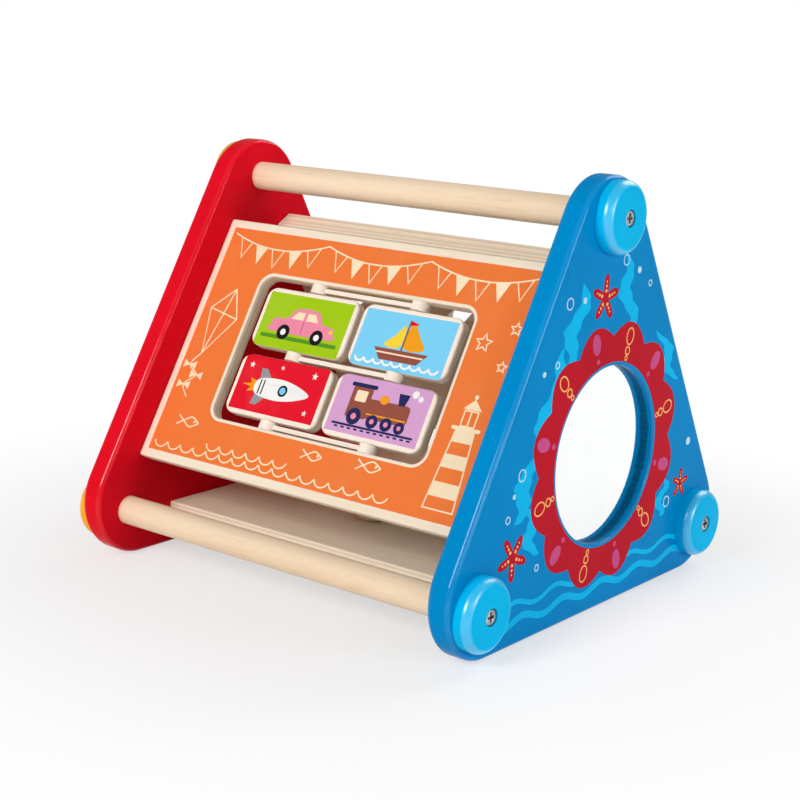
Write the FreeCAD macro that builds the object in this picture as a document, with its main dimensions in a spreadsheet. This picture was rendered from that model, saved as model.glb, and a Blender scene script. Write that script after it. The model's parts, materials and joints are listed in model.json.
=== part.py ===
import FreeCAD, Part
import math
import os

import Sketcher

# Triangular wooden activity box: two triangular end panels, three round dowels between them, and three
# boards that close the sides.  The front board holds four turning tiles, the rear board is slotted for
# three sliders, and the base board carries a turning disc.
#
# Frame: X runs along the box (red end at -X, blue end at +X), the front faces -Y, Z is up, and the origin
# is the centre of the footprint on the floor.  Lengths are in millimetres, angles in degrees.

# Driving sizes: alias, value, what it is.
SIZES = (
    ("screw_side", 192.0, "side of the triangle through the three dowel axes"),
    ("edge_margin", 24.1, "from a line through two dowel axes out to the panel's edge"),
    ("corner_radius", 29.1, "rounded corners of the end panels"),
    ("edge_roundover", 2.5, "rounding of the end panels' edges"),
    ("end_thickness", 12.4, "thickness of an end panel"),
    ("inner_width", 208.2, "between the inner faces of the end panels"),
    ("dowel_diameter", 14.7, "handle and bottom dowels"),
    ("dowel_seat", 4.0, "depth of a dowel's socket in an end panel"),
    ("dowel_chamfer", 0.6, "chamfer on the dowel ends"),
    ("seat_clearance", 0.1, "radial clearance of a dowel in its socket"),
    ("cap_diameter", 34.6, "round caps over the dowel ends"),
    ("cap_height", 8.4, "height of a cap above the panel"),
    ("cap_edge_radius", 4.4, "rounding of a cap's outer edge"),
    ("screw_head_diameter", 8.0, "head of a cap screw"),
    ("screw_head_height", 2.6, "height of a screw head"),
    ("screw_dome", 0.8, "rounding of a screw head's rim"),
    ("head_recess", 0.5, "head's top below the cap's face"),
    ("screw_diameter", 4.0, "shank of a cap screw"),
    ("screw_in_dowel", 22.0, "length of shank inside a dowel"),
    ("screw_point", 4.0, "length of the screw's point"),
    ("screw_clearance", 0.2, "radial clearance round head and shank"),
    ("cross_width", 1.3, "width of the cross recess"),
    ("cross_length", 4.6, "length of the cross recess"),
    ("cross_depth", 1.6, "depth of the cross recess"),
    ("mirror_radius", 43.3, "round recess for the mirror"),
    ("mirror_back", 5.7, "recess centre behind the middle of the panel"),
    ("mirror_rise", 52.3, "recess centre above the lower dowel axes"),
    ("mirror_depth", 5.2, "mirror's face below the panel's face"),
    ("mirror_thickness", 2.0, "thickness of the mirror"),
    ("mirror_clearance", 0.15, "gap round the mirror"),
    ("mirror_rim_round", 1.0, "rounding of the recess's rim"),
    ("board_width", 134.4, "width of each board, along its slope"),
    ("board_thickness", 7.0, "thickness of each board"),
    ("board_face", 8.2, "outer face of a board outside the dowel axes"),
    ("board_drop", 0.8, "front and rear boards below the middle of their sides, along the slope"),
    ("board_corner", 1.2, "rounded corners of a board"),
    ("board_roundover", 0.9, "rounding of a board's edges"),
    ("board_end_gap", 0.1, "gap between a board's end and the end panel"),
    ("pin_diameter", 4.0, "locating pins in the ends of the boards"),
    ("pin_length", 18.0, "length of a locating pin"),
    ("pin_in_panel", 6.5, "how far a pin reaches into an end panel"),
    ("pin_inset", 22.0, "from a board's long edge to a pin"),
    ("pin_end_gap", 0.5, "spare depth at each end of a pin hole"),
    ("fit_clearance", 0.02, "radial clearance of pieces fitted tight"),
    ("window_width", 135.0, "window in the front board"),
    ("window_height", 78.4, "height of the window, along the slope"),
    ("window_corner", 7.0, "rounded corners of the window"),
    ("window_roundover", 0.6, "rounding of the window's edges"),
    ("tile_side_gap", 5.6, "between a tile and the side of the window"),
    ("tile_end_gap", 4.9, "between a tile and the top or bottom of the window"),
    ("tile_column_gap", 3.4, "between the two columns of tiles"),
    ("tile_thickness", 6.4, "thickness of a tile"),
    ("tile_corner", 5.5, "rounded corners of a tile"),
    ("tile_roundover", 1.0, "rounding of a tile's edges"),
    ("tile_gap", 5.0, "between an upper and a lower tile"),
    ("tile_recess", 1.4, "tile's face below the board's face"),
    ("axle_diameter", 3.0, "tile axle"),
    ("axle_seat", 8.0, "depth of an axle's seat in the board"),
    ("axle_chamfer", 0.3, "chamfer on the axle ends"),
    ("running_clearance", 0.06, "radial clearance of a piece that turns on its pin"),
    ("hub_diameter", 9.6, "hubs of the tile spacers"),
    ("hub_play", 0.25, "gap between a hub and a tile"),
    ("bar_height", 2.2, "height of a spacer's bar, along the axles"),
    ("bar_depth", 4.0, "depth of a spacer's bar, through the board"),
    ("maze_layer", 3.6, "outer layer of the rear board"),
    ("slot_width", 8.6, "slots of the rear board"),
    ("slot_roundover", 0.6, "rounding of the slots' edges"),
    ("arch_radius", 25.0, "centre line of the two curved slots"),
    ("arch_sweep", 200.0, "angle that a curved slot turns through"),
    ("left_arch", 53.3, "left curved slot's centre, from the middle towards the red end"),
    ("right_arch", 17.4, "right curved slot's centre, from the middle towards the blue end"),
    ("straight_slot", 74.0, "straight slot, from the middle towards the blue end"),
    ("straight_travel", 68.0, "travel of the straight slot's slider"),
    ("stem_diameter", 8.0, "stem of a slider"),
    ("slider_play", 0.3, "gap between a slider and the board's faces"),
    ("knob_diameter", 16.0, "slider's knob"),
    ("knob_height", 9.0, "height of a slider's knob"),
    ("knob_round", 3.2, "rounding of a slider's knob"),
    ("retainer_diameter", 15.0, "slider's inner retaining disc"),
    ("retainer_thickness", 4.0, "thickness of a retaining disc"),
    ("retainer_round", 0.8, "rounding of a retaining disc"),
    ("spinner_diameter", 64.0, "turning disc under the base board"),
    ("spinner_thickness", 6.0, "thickness of the turning disc"),
    ("spinner_round", 1.8, "rounding of the turning disc's edge"),
    ("spinner_left", 7.8, "disc's centre, from the middle towards the red end"),
    ("spinner_front", 14.7, "disc's centre, from the middle towards the front"),
    ("spinner_stem", 8.0, "stem of the disc's peg"),
    ("spinner_play", 0.3, "gap between the base board and the pieces that turn on it"),
    ("spinner_knob", 19.0, "inner knob that holds the disc on"),
    ("spinner_knob_height", 8.0, "height of the inner knob"),
    ("spinner_knob_round", 2.6, "rounding of the inner knob"),
)

# Sizes worked out from the driving ones, in order, each as an expression.
DERIVED = (
    ("triangle_height", "Sizes.screw_side * sqrt(3) / 2"),
    ("half_side", "Sizes.screw_side / 2"),
    ("top_axis", "Sizes.edge_margin + Derived.triangle_height"),
    ("front_side_y", "-Derived.half_side - Sizes.board_drop / 2"),
    ("front_side_z", "Sizes.edge_margin - Sizes.board_drop * sqrt(3) / 2"),
    ("rear_side_y", "Sizes.board_drop / 2"),
    ("rear_side_z", "Derived.top_axis - Sizes.board_drop * sqrt(3) / 2"),
    ("half_inner", "Sizes.inner_width / 2"),
    ("half_length", "Derived.half_inner + Sizes.end_thickness"),
    ("dowel_radius", "Sizes.dowel_diameter / 2"),
    ("socket_radius", "Derived.dowel_radius + Sizes.seat_clearance"),
    ("dowel_length", "Sizes.inner_width + 2 * Sizes.dowel_seat"),
    ("half_dowel", "Derived.dowel_length / 2"),
    ("cap_radius", "Sizes.cap_diameter / 2"),
    ("head_radius", "Sizes.screw_head_diameter / 2"),
    ("counterbore_radius", "Derived.head_radius + Sizes.screw_clearance"),
    ("counterbore_depth", "Sizes.head_recess + Sizes.screw_head_height"),
    ("head_seat", "Sizes.cap_height - Derived.counterbore_depth"),
    ("shank_radius", "Sizes.screw_diameter / 2"),
    ("shank_hole_radius", "Derived.shank_radius + Sizes.screw_clearance"),
    ("pilot_radius", "Derived.shank_radius + Sizes.fit_clearance"),
    ("pilot_depth", "Sizes.screw_in_dowel + Sizes.pin_end_gap"),
    ("shank_length", "Derived.head_seat + Sizes.end_thickness - Sizes.dowel_seat + Sizes.screw_in_dowel"),
    ("shank_shoulder", "Derived.shank_length - Sizes.screw_point"),
    ("head_place", "Derived.half_length + Derived.head_seat"),
    ("cross_half_width", "Sizes.cross_width / 2"),
    ("cross_half_length", "Sizes.cross_length / 2"),
    ("mirror_height", "Sizes.edge_margin + Sizes.mirror_rise"),
    ("mirror_pocket", "Sizes.mirror_depth + Sizes.mirror_thickness"),
    ("mirror_disc_radius", "Sizes.mirror_radius - Sizes.mirror_clearance"),
    ("mirror_place", "Derived.half_length - Derived.mirror_pocket"),
    ("board_length", "Sizes.inner_width - 2 * Sizes.board_end_gap"),
    ("half_board", "Derived.board_length / 2"),
    ("half_board_width", "Sizes.board_width / 2"),
    ("board_back", "Sizes.board_face - Sizes.board_thickness"),
    ("maze_back", "Sizes.board_face - Sizes.maze_layer"),
    ("rear_back", "Derived.maze_back - Sizes.board_thickness"),
    ("mid_board", "Sizes.board_thickness / 2"),
    ("pin_radius", "Sizes.pin_diameter / 2"),
    ("pin_hole_radius", "Derived.pin_radius + Sizes.fit_clearance"),
    ("panel_hole_depth", "Sizes.pin_in_panel + Sizes.pin_end_gap"),
    ("board_hole_depth", "Sizes.pin_length - Sizes.pin_in_panel - Sizes.board_end_gap + Sizes.pin_end_gap"),
    ("half_pin_spacing", "Derived.half_board_width - Sizes.pin_inset"),
    ("low_pin", "Derived.half_side - Derived.half_pin_spacing"),
    ("high_pin", "Derived.half_side + Derived.half_pin_spacing"),
    ("pin_start", "Derived.half_inner + Sizes.pin_in_panel - Sizes.pin_length"),
    ("half_window", "Sizes.window_width / 2"),
    ("half_window_height", "Sizes.window_height / 2"),
    ("tile_width", "Derived.half_window - Sizes.tile_column_gap / 2 - Sizes.tile_side_gap"),
    ("tile_height", "Derived.half_window_height - Sizes.tile_gap / 2 - Sizes.tile_end_gap"),
    ("half_tile", "Derived.tile_width / 2"),
    ("half_tile_height", "Derived.tile_height / 2"),
    ("half_axle_spacing", "Derived.half_tile + Sizes.tile_column_gap / 2"),
    ("axle_radius", "Sizes.axle_diameter / 2"),
    ("axle_seat_radius", "Derived.axle_radius + Sizes.fit_clearance"),
    ("tile_bore_radius", "Derived.axle_radius + Sizes.running_clearance"),
    ("axle_length", "Sizes.window_height + 2 * Sizes.axle_seat"),
    ("axle_out", "Sizes.board_face - Sizes.tile_recess - Sizes.tile_thickness / 2"),
    ("axle_level", "Derived.axle_out - Derived.board_back"),
    ("tile_offset", "Sizes.tile_gap / 2 + Derived.half_tile_height"),
    ("upper_tile", "Derived.half_side + Derived.tile_offset"),
    ("lower_tile", "Derived.half_side - Derived.tile_offset"),
    ("hub_radius", "Sizes.hub_diameter / 2"),
    ("middle_hub_height", "Sizes.tile_gap - 2 * Sizes.hub_play"),
    ("end_hub_height", "Sizes.tile_end_gap - Sizes.hub_play - Sizes.fit_clearance"),
    ("end_hub_offset", "Derived.half_window_height - Sizes.fit_clearance - Derived.end_hub_height / 2"),
    ("top_hub", "Derived.half_side + Derived.end_hub_offset"),
    ("bottom_hub", "Derived.half_side - Derived.end_hub_offset"),
    ("half_bar_depth", "Sizes.bar_depth / 2"),
    ("half_slot", "Sizes.slot_width / 2"),
    ("arch_outer", "Sizes.arch_radius + Derived.half_slot"),
    ("arch_inner", "Sizes.arch_radius - Derived.half_slot"),
    ("arch_end_across", "Sizes.arch_radius * sin(Sizes.arch_sweep * 1deg / 2)"),
    ("arch_end_down", "-Sizes.arch_radius * cos(Sizes.arch_sweep * 1deg / 2)"),
    ("left_slider_x", "-Sizes.left_arch - Derived.arch_end_across"),
    ("right_slider_x", "Sizes.right_arch + Derived.arch_end_across"),
    ("arch_slider_along", "Derived.half_side + Derived.arch_end_down"),
    ("half_travel", "Sizes.straight_travel / 2"),
    ("straight_slider_along", "Derived.half_side + Derived.half_travel"),
    ("stem_radius", "Sizes.stem_diameter / 2"),
    ("slotted_wall", "Sizes.board_thickness + Sizes.maze_layer"),
    ("retainer_face", "Derived.slotted_wall + Sizes.slider_play"),
    ("stem_end", "Derived.retainer_face + Sizes.retainer_thickness"),
    ("retainer_back", "Sizes.board_face - Derived.stem_end"),
    ("knob_radius", "Sizes.knob_diameter / 2"),
    ("knob_top", "Sizes.slider_play + Sizes.knob_height"),
    ("retainer_radius", "Sizes.retainer_diameter / 2"),
    ("retainer_bore", "Derived.stem_radius + Sizes.fit_clearance"),
    ("spinner_radius", "Sizes.spinner_diameter / 2"),
    ("spinner_stem_radius", "Sizes.spinner_stem / 2"),
    ("spinner_bore", "Derived.spinner_stem_radius + Sizes.fit_clearance"),
    ("spinner_board_bore", "Derived.spinner_stem_radius + Sizes.running_clearance"),
    ("spinner_along", "Derived.half_side + Sizes.spinner_front"),
    ("spinner_back", "Sizes.board_face + Sizes.spinner_play"),
    ("spinner_peg_end", "Sizes.spinner_play + Sizes.spinner_thickness"),
    ("spinner_knob_radius", "Sizes.spinner_knob / 2"),
    ("spinner_knob_face", "Sizes.board_thickness + Sizes.spinner_play"),
    ("spinner_knob_end", "Derived.spinner_knob_face + Sizes.spinner_knob_height"),
)

# Each side of the triangle has a frame of its own: X along the box, Y along the side from one dowel axis to
# the next, Z outward.  It is turned about X by the angle, with its origin at the Y and Z of the box given: on
# a dowel axis for the base, and the drop of the boards below one for the front and the rear.
SIDES = {
    "front": (60.0, "Derived.front_side_y", "Derived.front_side_z"),
    "rear": (-60.0, "Derived.rear_side_y", "Derived.rear_side_z"),
    "base": (-180.0, "Derived.half_side", "Sizes.edge_margin"),
}

# The dowel axes, as Y and Z of the box.
AXES = {
    "front": ("-Derived.half_side", "Sizes.edge_margin"),
    "rear": ("Derived.half_side", "Sizes.edge_margin"),
    "top": ("0", "Derived.top_axis"),
}

# The box's ends, and the sign that their places along X carry.
ENDS = {"blue": "", "red": "-"}

X_AXIS = FreeCAD.Vector(1, 0, 0)
Y_AXIS = FreeCAD.Vector(0, 1, 0)
Z_AXIS = FreeCAD.Vector(0, 0, 1)
ORIGIN = FreeCAD.Vector(0, 0, 0)
NEAR = 1e-4

doc = FreeCAD.newDocument("ActivityTriangle")
sheet = doc.addObject("Spreadsheet::Sheet", "Sizes")
derived = doc.addObject("App::VarSet", "Derived")
nodes = []


# ---------------------------------------------------------------- sizes

def fill_sheet():
    """Write the driving sizes into the spreadsheet, one named cell each."""
    for row, (alias, number, meaning) in enumerate(SIZES, start=1):
        sheet.set(f"A{row}", alias)
        sheet.set(f"B{row}", str(number))
        sheet.setAlias(f"B{row}", alias)
        sheet.set(f"C{row}", meaning)
    doc.recompute()


def derive(name, expression):
    """Add one worked-out size and return the name that expressions use for it."""
    derived.addProperty("App::PropertyFloat", name, "Derived")
    derived.setExpression(name, expression)
    doc.recompute()
    return f"Derived.{name}"


def value(name):
    """Number behind a size's name, which may carry a minus sign, or "0"."""
    if name == "0":
        return 0.0
    if name.startswith("-"):
        return -value(name[1:])
    owner, alias = name.split(".")
    return float(getattr(sheet if owner == "Sizes" else derived, alias))


def side_place(side, along, out):
    """Expressions for the box's Y and Z of a point along a side and out from it."""
    angle, start_y, start_z = SIDES[side]
    y_place = f"{start_y} + {along} * cos({angle}deg) - ({out}) * sin({angle}deg)"
    z_place = f"{start_z} + {along} * sin({angle}deg) + ({out}) * cos({angle}deg)"
    return y_place, z_place


# ---------------------------------------------------------------- bodies, sketches and features

def new_body(label, x_place="0", y_place="0", z_place="0", turn=None):
    """Start a body, turned as given, with its place bound to sizes."""
    body = doc.addObject("PartDesign::Body", label)
    body.Label = label
    set_place(body, x_place, y_place, z_place, turn)
    return body


def set_place(piece, x_place, y_place, z_place, turn=None):
    """Turn a piece and bind its place to sizes."""
    piece.Placement = FreeCAD.Placement(ORIGIN, turn or FreeCAD.Rotation())
    for letter, expression in zip("xyz", (x_place, y_place, z_place)):
        piece.setExpression(f".Placement.Base.{letter}", expression)


def side_body(label, side, along, out, x_place="0"):
    """Start a body in a side's frame, at a place along the side and out from it."""
    turn = FreeCAD.Rotation(X_AXIS, SIDES[side][0])
    y_place, z_place = side_place(side, along, out)
    return new_body(label, x_place, y_place, z_place, turn)


def new_sketch(body, name, plane, offset="0"):
    """Attach a sketch to one of the body's own origin planes, moved along its normal."""
    sketch = body.newObject("Sketcher::SketchObject", f"{body.Name}_{name}")
    support = next(item for item in body.Origin.OriginFeatures if item.Role == f"{plane}_Plane")
    sketch.AttachmentSupport = [(support, "")]
    sketch.MapMode = "FlatFace"
    if offset != "0":
        sketch.setExpression(".AttachmentOffset.Base.z", offset)
    return sketch


def bind(sketch, constraint, expression):
    """Add a dimension and bind it to a size."""
    index = sketch.addConstraint(constraint)
    sketch.renameConstraint(index, f"size_{index}")
    sketch.setExpression(f"Constraints.size_{index}", expression)


def hold_point(sketch, geometry, position, across, up):
    """Hold one point of a sketch at two sizes from the sketch's origin."""
    if across == "0":
        sketch.addConstraint(Sketcher.Constraint("PointOnObject", geometry, position, -2))
    else:
        bind(sketch, Sketcher.Constraint("DistanceX", -1, 1, geometry, position, value(across)), across)
    if up == "0":
        sketch.addConstraint(Sketcher.Constraint("PointOnObject", geometry, position, -1))
    else:
        bind(sketch, Sketcher.Constraint("DistanceY", -1, 1, geometry, position, value(up)), up)


def add_circle(sketch, across, up, radius):
    """Draw a circle with its centre and radius bound."""
    centre = FreeCAD.Vector(value(across), value(up), 0)
    circle = sketch.addGeometry(Part.Circle(centre, Z_AXIS, value(radius)), False)
    hold_point(sketch, circle, 3, across, up)
    bind(sketch, Sketcher.Constraint("Radius", circle, value(radius)), radius)


def add_arc(sketch, centre, radius, start, end):
    """Draw an arc from one angle to another, anticlockwise, in radians."""
    return sketch.addGeometry(Part.ArcOfCircle(Part.Circle(centre, Z_AXIS, radius), start, end), False)


def add_outline(sketch, corners):
    """Draw a closed outline of straight lines through corners held at sizes."""
    points = [FreeCAD.Vector(value(across), value(up), 0) for across, up in corners]
    lines = []
    for start, end in zip(points, points[1:] + points[:1]):
        lines.append(sketch.addGeometry(Part.LineSegment(start, end), False))
    for line, after in zip(lines, lines[1:] + lines[:1]):
        sketch.addConstraint(Sketcher.Constraint("Coincident", line, 2, after, 1))
    for line, (across, up) in zip(lines, corners):
        hold_point(sketch, line, 1, across, up)


def add_rounded_rectangle(sketch, half_width, half_height, radius):
    """Draw a rectangle with round corners about the sketch's origin."""
    wide, high, corner = value(half_width), value(half_height), value(radius)
    centres = [
        FreeCAD.Vector(wide - corner, high - corner, 0),
        FreeCAD.Vector(corner - wide, high - corner, 0),
        FreeCAD.Vector(corner - wide, corner - high, 0),
        FreeCAD.Vector(wide - corner, corner - high, 0),
    ]
    arcs = []
    for quarter, centre in enumerate(centres):
        start = quarter * math.pi / 2
        arcs.append(add_arc(sketch, centre, corner, start, start + math.pi / 2))
    lines = []
    for quarter, centre in enumerate(centres):
        angle = (quarter + 1) * math.pi / 2
        reach = FreeCAD.Vector(corner * math.cos(angle), corner * math.sin(angle), 0)
        after = centres[(quarter + 1) % 4]
        lines.append(sketch.addGeometry(Part.LineSegment(centre + reach, after + reach), False))
    for quarter in range(4):
        after = (quarter + 1) % 4
        sketch.addConstraint(Sketcher.Constraint("Tangent", arcs[quarter], 2, lines[quarter], 1))
        sketch.addConstraint(Sketcher.Constraint("Tangent", lines[quarter], 2, arcs[after], 1))
        direction = "Horizontal" if quarter % 2 == 0 else "Vertical"
        sketch.addConstraint(Sketcher.Constraint(direction, lines[quarter]))
        if quarter:
            sketch.addConstraint(Sketcher.Constraint("Equal", arcs[0], arcs[quarter]))
    bind(sketch, Sketcher.Constraint("Radius", arcs[0], corner), radius)
    top, left, bottom, right = lines
    bind(sketch, Sketcher.Constraint("DistanceY", -1, 1, top, 1, high), half_height)
    bind(sketch, Sketcher.Constraint("DistanceX", left, 1, -1, 1, wide), half_width)
    bind(sketch, Sketcher.Constraint("DistanceY", bottom, 1, -1, 1, high), half_height)
    bind(sketch, Sketcher.Constraint("DistanceX", -1, 1, right, 1, wide), half_width)


def add_panel_outline(sketch):
    """Draw the end panel: lines at one margin outside the dowel axes, joined by round corners."""
    margin, radius = value("Sizes.edge_margin"), value("Sizes.corner_radius")
    places = [AXES[name] for name in ("front", "rear", "top")]
    marks = []
    for across, up in places:
        point = FreeCAD.Vector(value(across), value(up), 0)
        mark = sketch.addGeometry(Part.Point(point), True)
        hold_point(sketch, mark, 1, across, up)
        marks.append((mark, point))
    # Outward directions of the sides, in degrees: base, rear side, front side.
    outward = (-90.0, 30.0, 150.0)
    arcs = []
    for corner, (mark, point) in enumerate(marks):
        before = math.radians(outward[corner - 1])
        after = before + 2 * math.pi / 3
        middle = (before + after) / 2
        inward = 2 * (margin - radius)
        centre = point + FreeCAD.Vector(inward * math.cos(middle), inward * math.sin(middle), 0)
        arcs.append((add_arc(sketch, centre, radius, before, after), centre))
    for side, angle in enumerate(outward):
        turn = math.radians(angle)
        reach = FreeCAD.Vector(radius * math.cos(turn), radius * math.sin(turn), 0)
        first, first_centre = arcs[side]
        second, second_centre = arcs[(side + 1) % 3]
        line = sketch.addGeometry(Part.LineSegment(first_centre + reach, second_centre + reach), False)
        sketch.addConstraint(Sketcher.Constraint("Tangent", first, 2, line, 1))
        sketch.addConstraint(Sketcher.Constraint("Tangent", line, 2, second, 1))
        for mark, point in (marks[side], marks[(side + 1) % 3]):
            bind(sketch, Sketcher.Constraint("Distance", mark, 1, line, margin), "Sizes.edge_margin")
    for arc, centre in arcs:
        bind(sketch, Sketcher.Constraint("Radius", arc, radius), "Sizes.corner_radius")


def add_straight_slot(sketch, across, half_travel, half_width):
    """Draw a slot along the sketch's vertical, with round ends."""
    middle, travel, half = value(across), value(half_travel), value(half_width)
    high = add_arc(sketch, FreeCAD.Vector(middle, travel, 0), half, 0, math.pi)
    low = add_arc(sketch, FreeCAD.Vector(middle, -travel, 0), half, math.pi, 2 * math.pi)
    left_ends = [FreeCAD.Vector(middle - half, end, 0) for end in (travel, -travel)]
    right_ends = [FreeCAD.Vector(middle + half, end, 0) for end in (-travel, travel)]
    left = sketch.addGeometry(Part.LineSegment(*left_ends), False)
    right = sketch.addGeometry(Part.LineSegment(*right_ends), False)
    for first, second in ((high, left), (left, low), (low, right), (right, high)):
        sketch.addConstraint(Sketcher.Constraint("Tangent", first, 2, second, 1))
    hold_point(sketch, high, 3, across, half_travel)
    hold_point(sketch, low, 3, across, f"-{half_travel}")
    bind(sketch, Sketcher.Constraint("Radius", high, half), half_width)


def add_arch_slot(sketch, across):
    """Draw a curved slot of even width, open downwards, about a centre on the board's middle line."""
    centre = FreeCAD.Vector(value(across), 0, 0)
    radius, half = value("Sizes.arch_radius"), value("Derived.half_slot")
    sweep = math.radians(value("Sizes.arch_sweep"))
    first, last = -math.pi / 2 - sweep / 2, -math.pi / 2 + sweep / 2
    ends = [centre + FreeCAD.Vector(radius * math.cos(a), radius * math.sin(a), 0) for a in (first, last)]
    outer = add_arc(sketch, centre, radius + half, first, last)
    inner = add_arc(sketch, centre, radius - half, first, last)
    last_cap = add_arc(sketch, ends[1], half, last, last + math.pi)
    first_cap = add_arc(sketch, ends[0], half, first + math.pi, first + 2 * math.pi)
    sketch.addConstraint(Sketcher.Constraint("Tangent", outer, 2, last_cap, 1))
    sketch.addConstraint(Sketcher.Constraint("Tangent", last_cap, 2, inner, 2))
    sketch.addConstraint(Sketcher.Constraint("Tangent", inner, 1, first_cap, 1))
    sketch.addConstraint(Sketcher.Constraint("Tangent", first_cap, 2, outer, 1))
    sketch.addConstraint(Sketcher.Constraint("Coincident", outer, 3, inner, 3))
    hold_point(sketch, outer, 3, across, "0")
    bind(sketch, Sketcher.Constraint("Radius", outer, radius + half), "Derived.arch_outer")
    bind(sketch, Sketcher.Constraint("Radius", inner, radius - half), "Derived.arch_inner")
    sketch.addConstraint(Sketcher.Constraint("Horizontal", first_cap, 3, last_cap, 3))
    bind(sketch, Sketcher.Constraint("Angle", outer, sweep), "Sizes.arch_sweep * 1deg")


def pad(body, sketch, length, centred=False, backwards=False):
    """Pad a sketch to a length, either side of it if centred."""
    feature = body.newObject("PartDesign::Pad", f"{sketch.Name}_pad")
    feature.Profile = sketch
    feature.Midplane = centred
    feature.Reversed = backwards
    feature.setExpression("Length", length)
    sketch.Visibility = False
    doc.recompute()
    return feature


def cut(body, sketch, depth, centred=False, backwards=False):
    """Pocket a sketch to a depth, and make sure that it took material away."""
    before = body.Shape.Volume
    feature = body.newObject("PartDesign::Pocket", f"{sketch.Name}_cut")
    feature.Profile = sketch
    feature.Midplane = centred
    feature.Reversed = backwards
    feature.setExpression("Length", depth)
    sketch.Visibility = False
    doc.recompute()
    if body.Shape.Volume > before - NEAR:
        raise RuntimeError(f"{feature.Name} cuts nothing")
    return feature


def revolve(body, sketch, axis):
    """Turn a sketch once round one of its own axes."""
    feature = body.newObject("PartDesign::Revolution", f"{sketch.Name}_turned")
    feature.Profile = sketch
    feature.ReferenceAxis = (sketch, [axis])
    feature.Angle = 360
    sketch.Visibility = False
    doc.recompute()
    return feature


def edges_at(shape, axis, *levels):
    """Names of the edges that lie wholly at one of the levels along an axis of the body."""
    names = []
    for number, edge in enumerate(shape.Edges, start=1):
        box = edge.BoundBox
        low, high = getattr(box, f"{axis}Min"), getattr(box, f"{axis}Max")
        if any(abs(low - level) < NEAR and abs(high - level) < NEAR for level in levels):
            names.append(f"Edge{number}")
    return names


def hole_edges(shape, axis, *levels):
    """Names of the edges round the holes in the flat faces at the levels along an axis of the body."""
    rims = []
    for face in shape.Faces:
        low, high = getattr(face.BoundBox, f"{axis}Min"), getattr(face.BoundBox, f"{axis}Max")
        if any(abs(low - level) < NEAR and abs(high - level) < NEAR for level in levels):
            for wire in face.Wires:
                if not wire.isSame(face.OuterWire):
                    rims.extend(wire.Edges)
    names = []
    for number, edge in enumerate(shape.Edges, start=1):
        if any(edge.isSame(rim) for rim in rims):
            names.append(f"Edge{number}")
    return names


def round_edges(body, feature, edges, radius):
    """Fillet the named edges of a feature."""
    fillet = body.newObject("PartDesign::Fillet", f"{feature.Name}_rounded")
    fillet.Base = (feature, edges)
    fillet.setExpression("Radius", radius)
    doc.recompute()
    return fillet


def bevel_edges(body, feature, edges, size):
    """Chamfer the named edges of a feature."""
    chamfer = body.newObject("PartDesign::Chamfer", f"{feature.Name}_bevelled")
    chamfer.Base = (feature, edges)
    chamfer.setExpression("Size", size)
    doc.recompute()
    return chamfer


def group(label, members):
    """Gather identical pieces into one node."""
    compound = doc.addObject("Part::Compound", label)
    compound.Label = label
    compound.Links = members
    nodes.append(compound)


# ---------------------------------------------------------------- end panels, dowels, caps and screws

def make_end_panel(label, x_place, outward, pin_places):
    """Triangular panel with its dowel sockets, screw holes and pin holes on the inner face."""
    body = new_body(label, x_place)
    inward = not outward
    outline = new_sketch(body, "outline", "YZ")
    add_panel_outline(outline)
    plate = pad(body, outline, "Sizes.end_thickness", backwards=inward)
    far = value("Sizes.end_thickness") * (1 if outward else -1)
    round_edges(body, plate, edges_at(plate.Shape, "X", 0.0, far), "Sizes.edge_roundover")
    for name, places, radius, depth in (
        ("sockets", AXES.values(), "Derived.socket_radius", "Sizes.dowel_seat"),
        ("screw_holes", AXES.values(), "Derived.shank_hole_radius", "Sizes.end_thickness"),
        ("pin_holes", pin_places, "Derived.pin_hole_radius", "Derived.panel_hole_depth"),
    ):
        sketch = new_sketch(body, name, "YZ")
        for across, up in places:
            add_circle(sketch, across, up, radius)
        cut(body, sketch, depth, backwards=outward)
    return body


def make_mirror_recess(panel):
    """Round recess in the blue panel's outer face, with a softened rim."""
    sketch = new_sketch(panel, "mirror_recess", "YZ", "Sizes.end_thickness")
    add_circle(sketch, "Sizes.mirror_back", "Derived.mirror_height", "Sizes.mirror_radius")
    recess = cut(panel, sketch, "Derived.mirror_pocket")
    rim = []
    for name in hole_edges(recess.Shape, "X", value("Sizes.end_thickness")):
        if recess.Shape.getElement(name).BoundBox.YLength > value("Sizes.mirror_radius"):
            rim.append(name)
    round_edges(panel, recess, rim, "Sizes.mirror_rim_round")


def make_mirror():
    """Thin disc that lies in the recess."""
    body = new_body("mirror", "Derived.mirror_place", "Sizes.mirror_back", "Derived.mirror_height")
    sketch = new_sketch(body, "disc", "YZ")
    add_circle(sketch, "0", "0", "Derived.mirror_disc_radius")
    pad(body, sketch, "Sizes.mirror_thickness")
    nodes.append(body)


def make_dowel(label, axis):
    """Round dowel with bevelled ends and a pilot hole for a screw in each."""
    y_place, z_place = AXES[axis]
    body = new_body(label, "0", y_place, z_place)
    sketch = new_sketch(body, "section", "YZ")
    add_circle(sketch, "0", "0", "Derived.dowel_radius")
    rod = pad(body, sketch, "Derived.dowel_length", centred=True)
    ends = edges_at(rod.Shape, "X", value("Derived.half_dowel"), -value("Derived.half_dowel"))
    bevel_edges(body, rod, ends, "Sizes.dowel_chamfer")
    for end, sign in ENDS.items():
        pilot = new_sketch(body, f"{end}_pilot", "YZ", f"{sign}Derived.half_dowel")
        add_circle(pilot, "0", "0", "Derived.pilot_radius")
        cut(body, pilot, "Derived.pilot_depth", backwards=end == "red")
    nodes.append(body)


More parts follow.
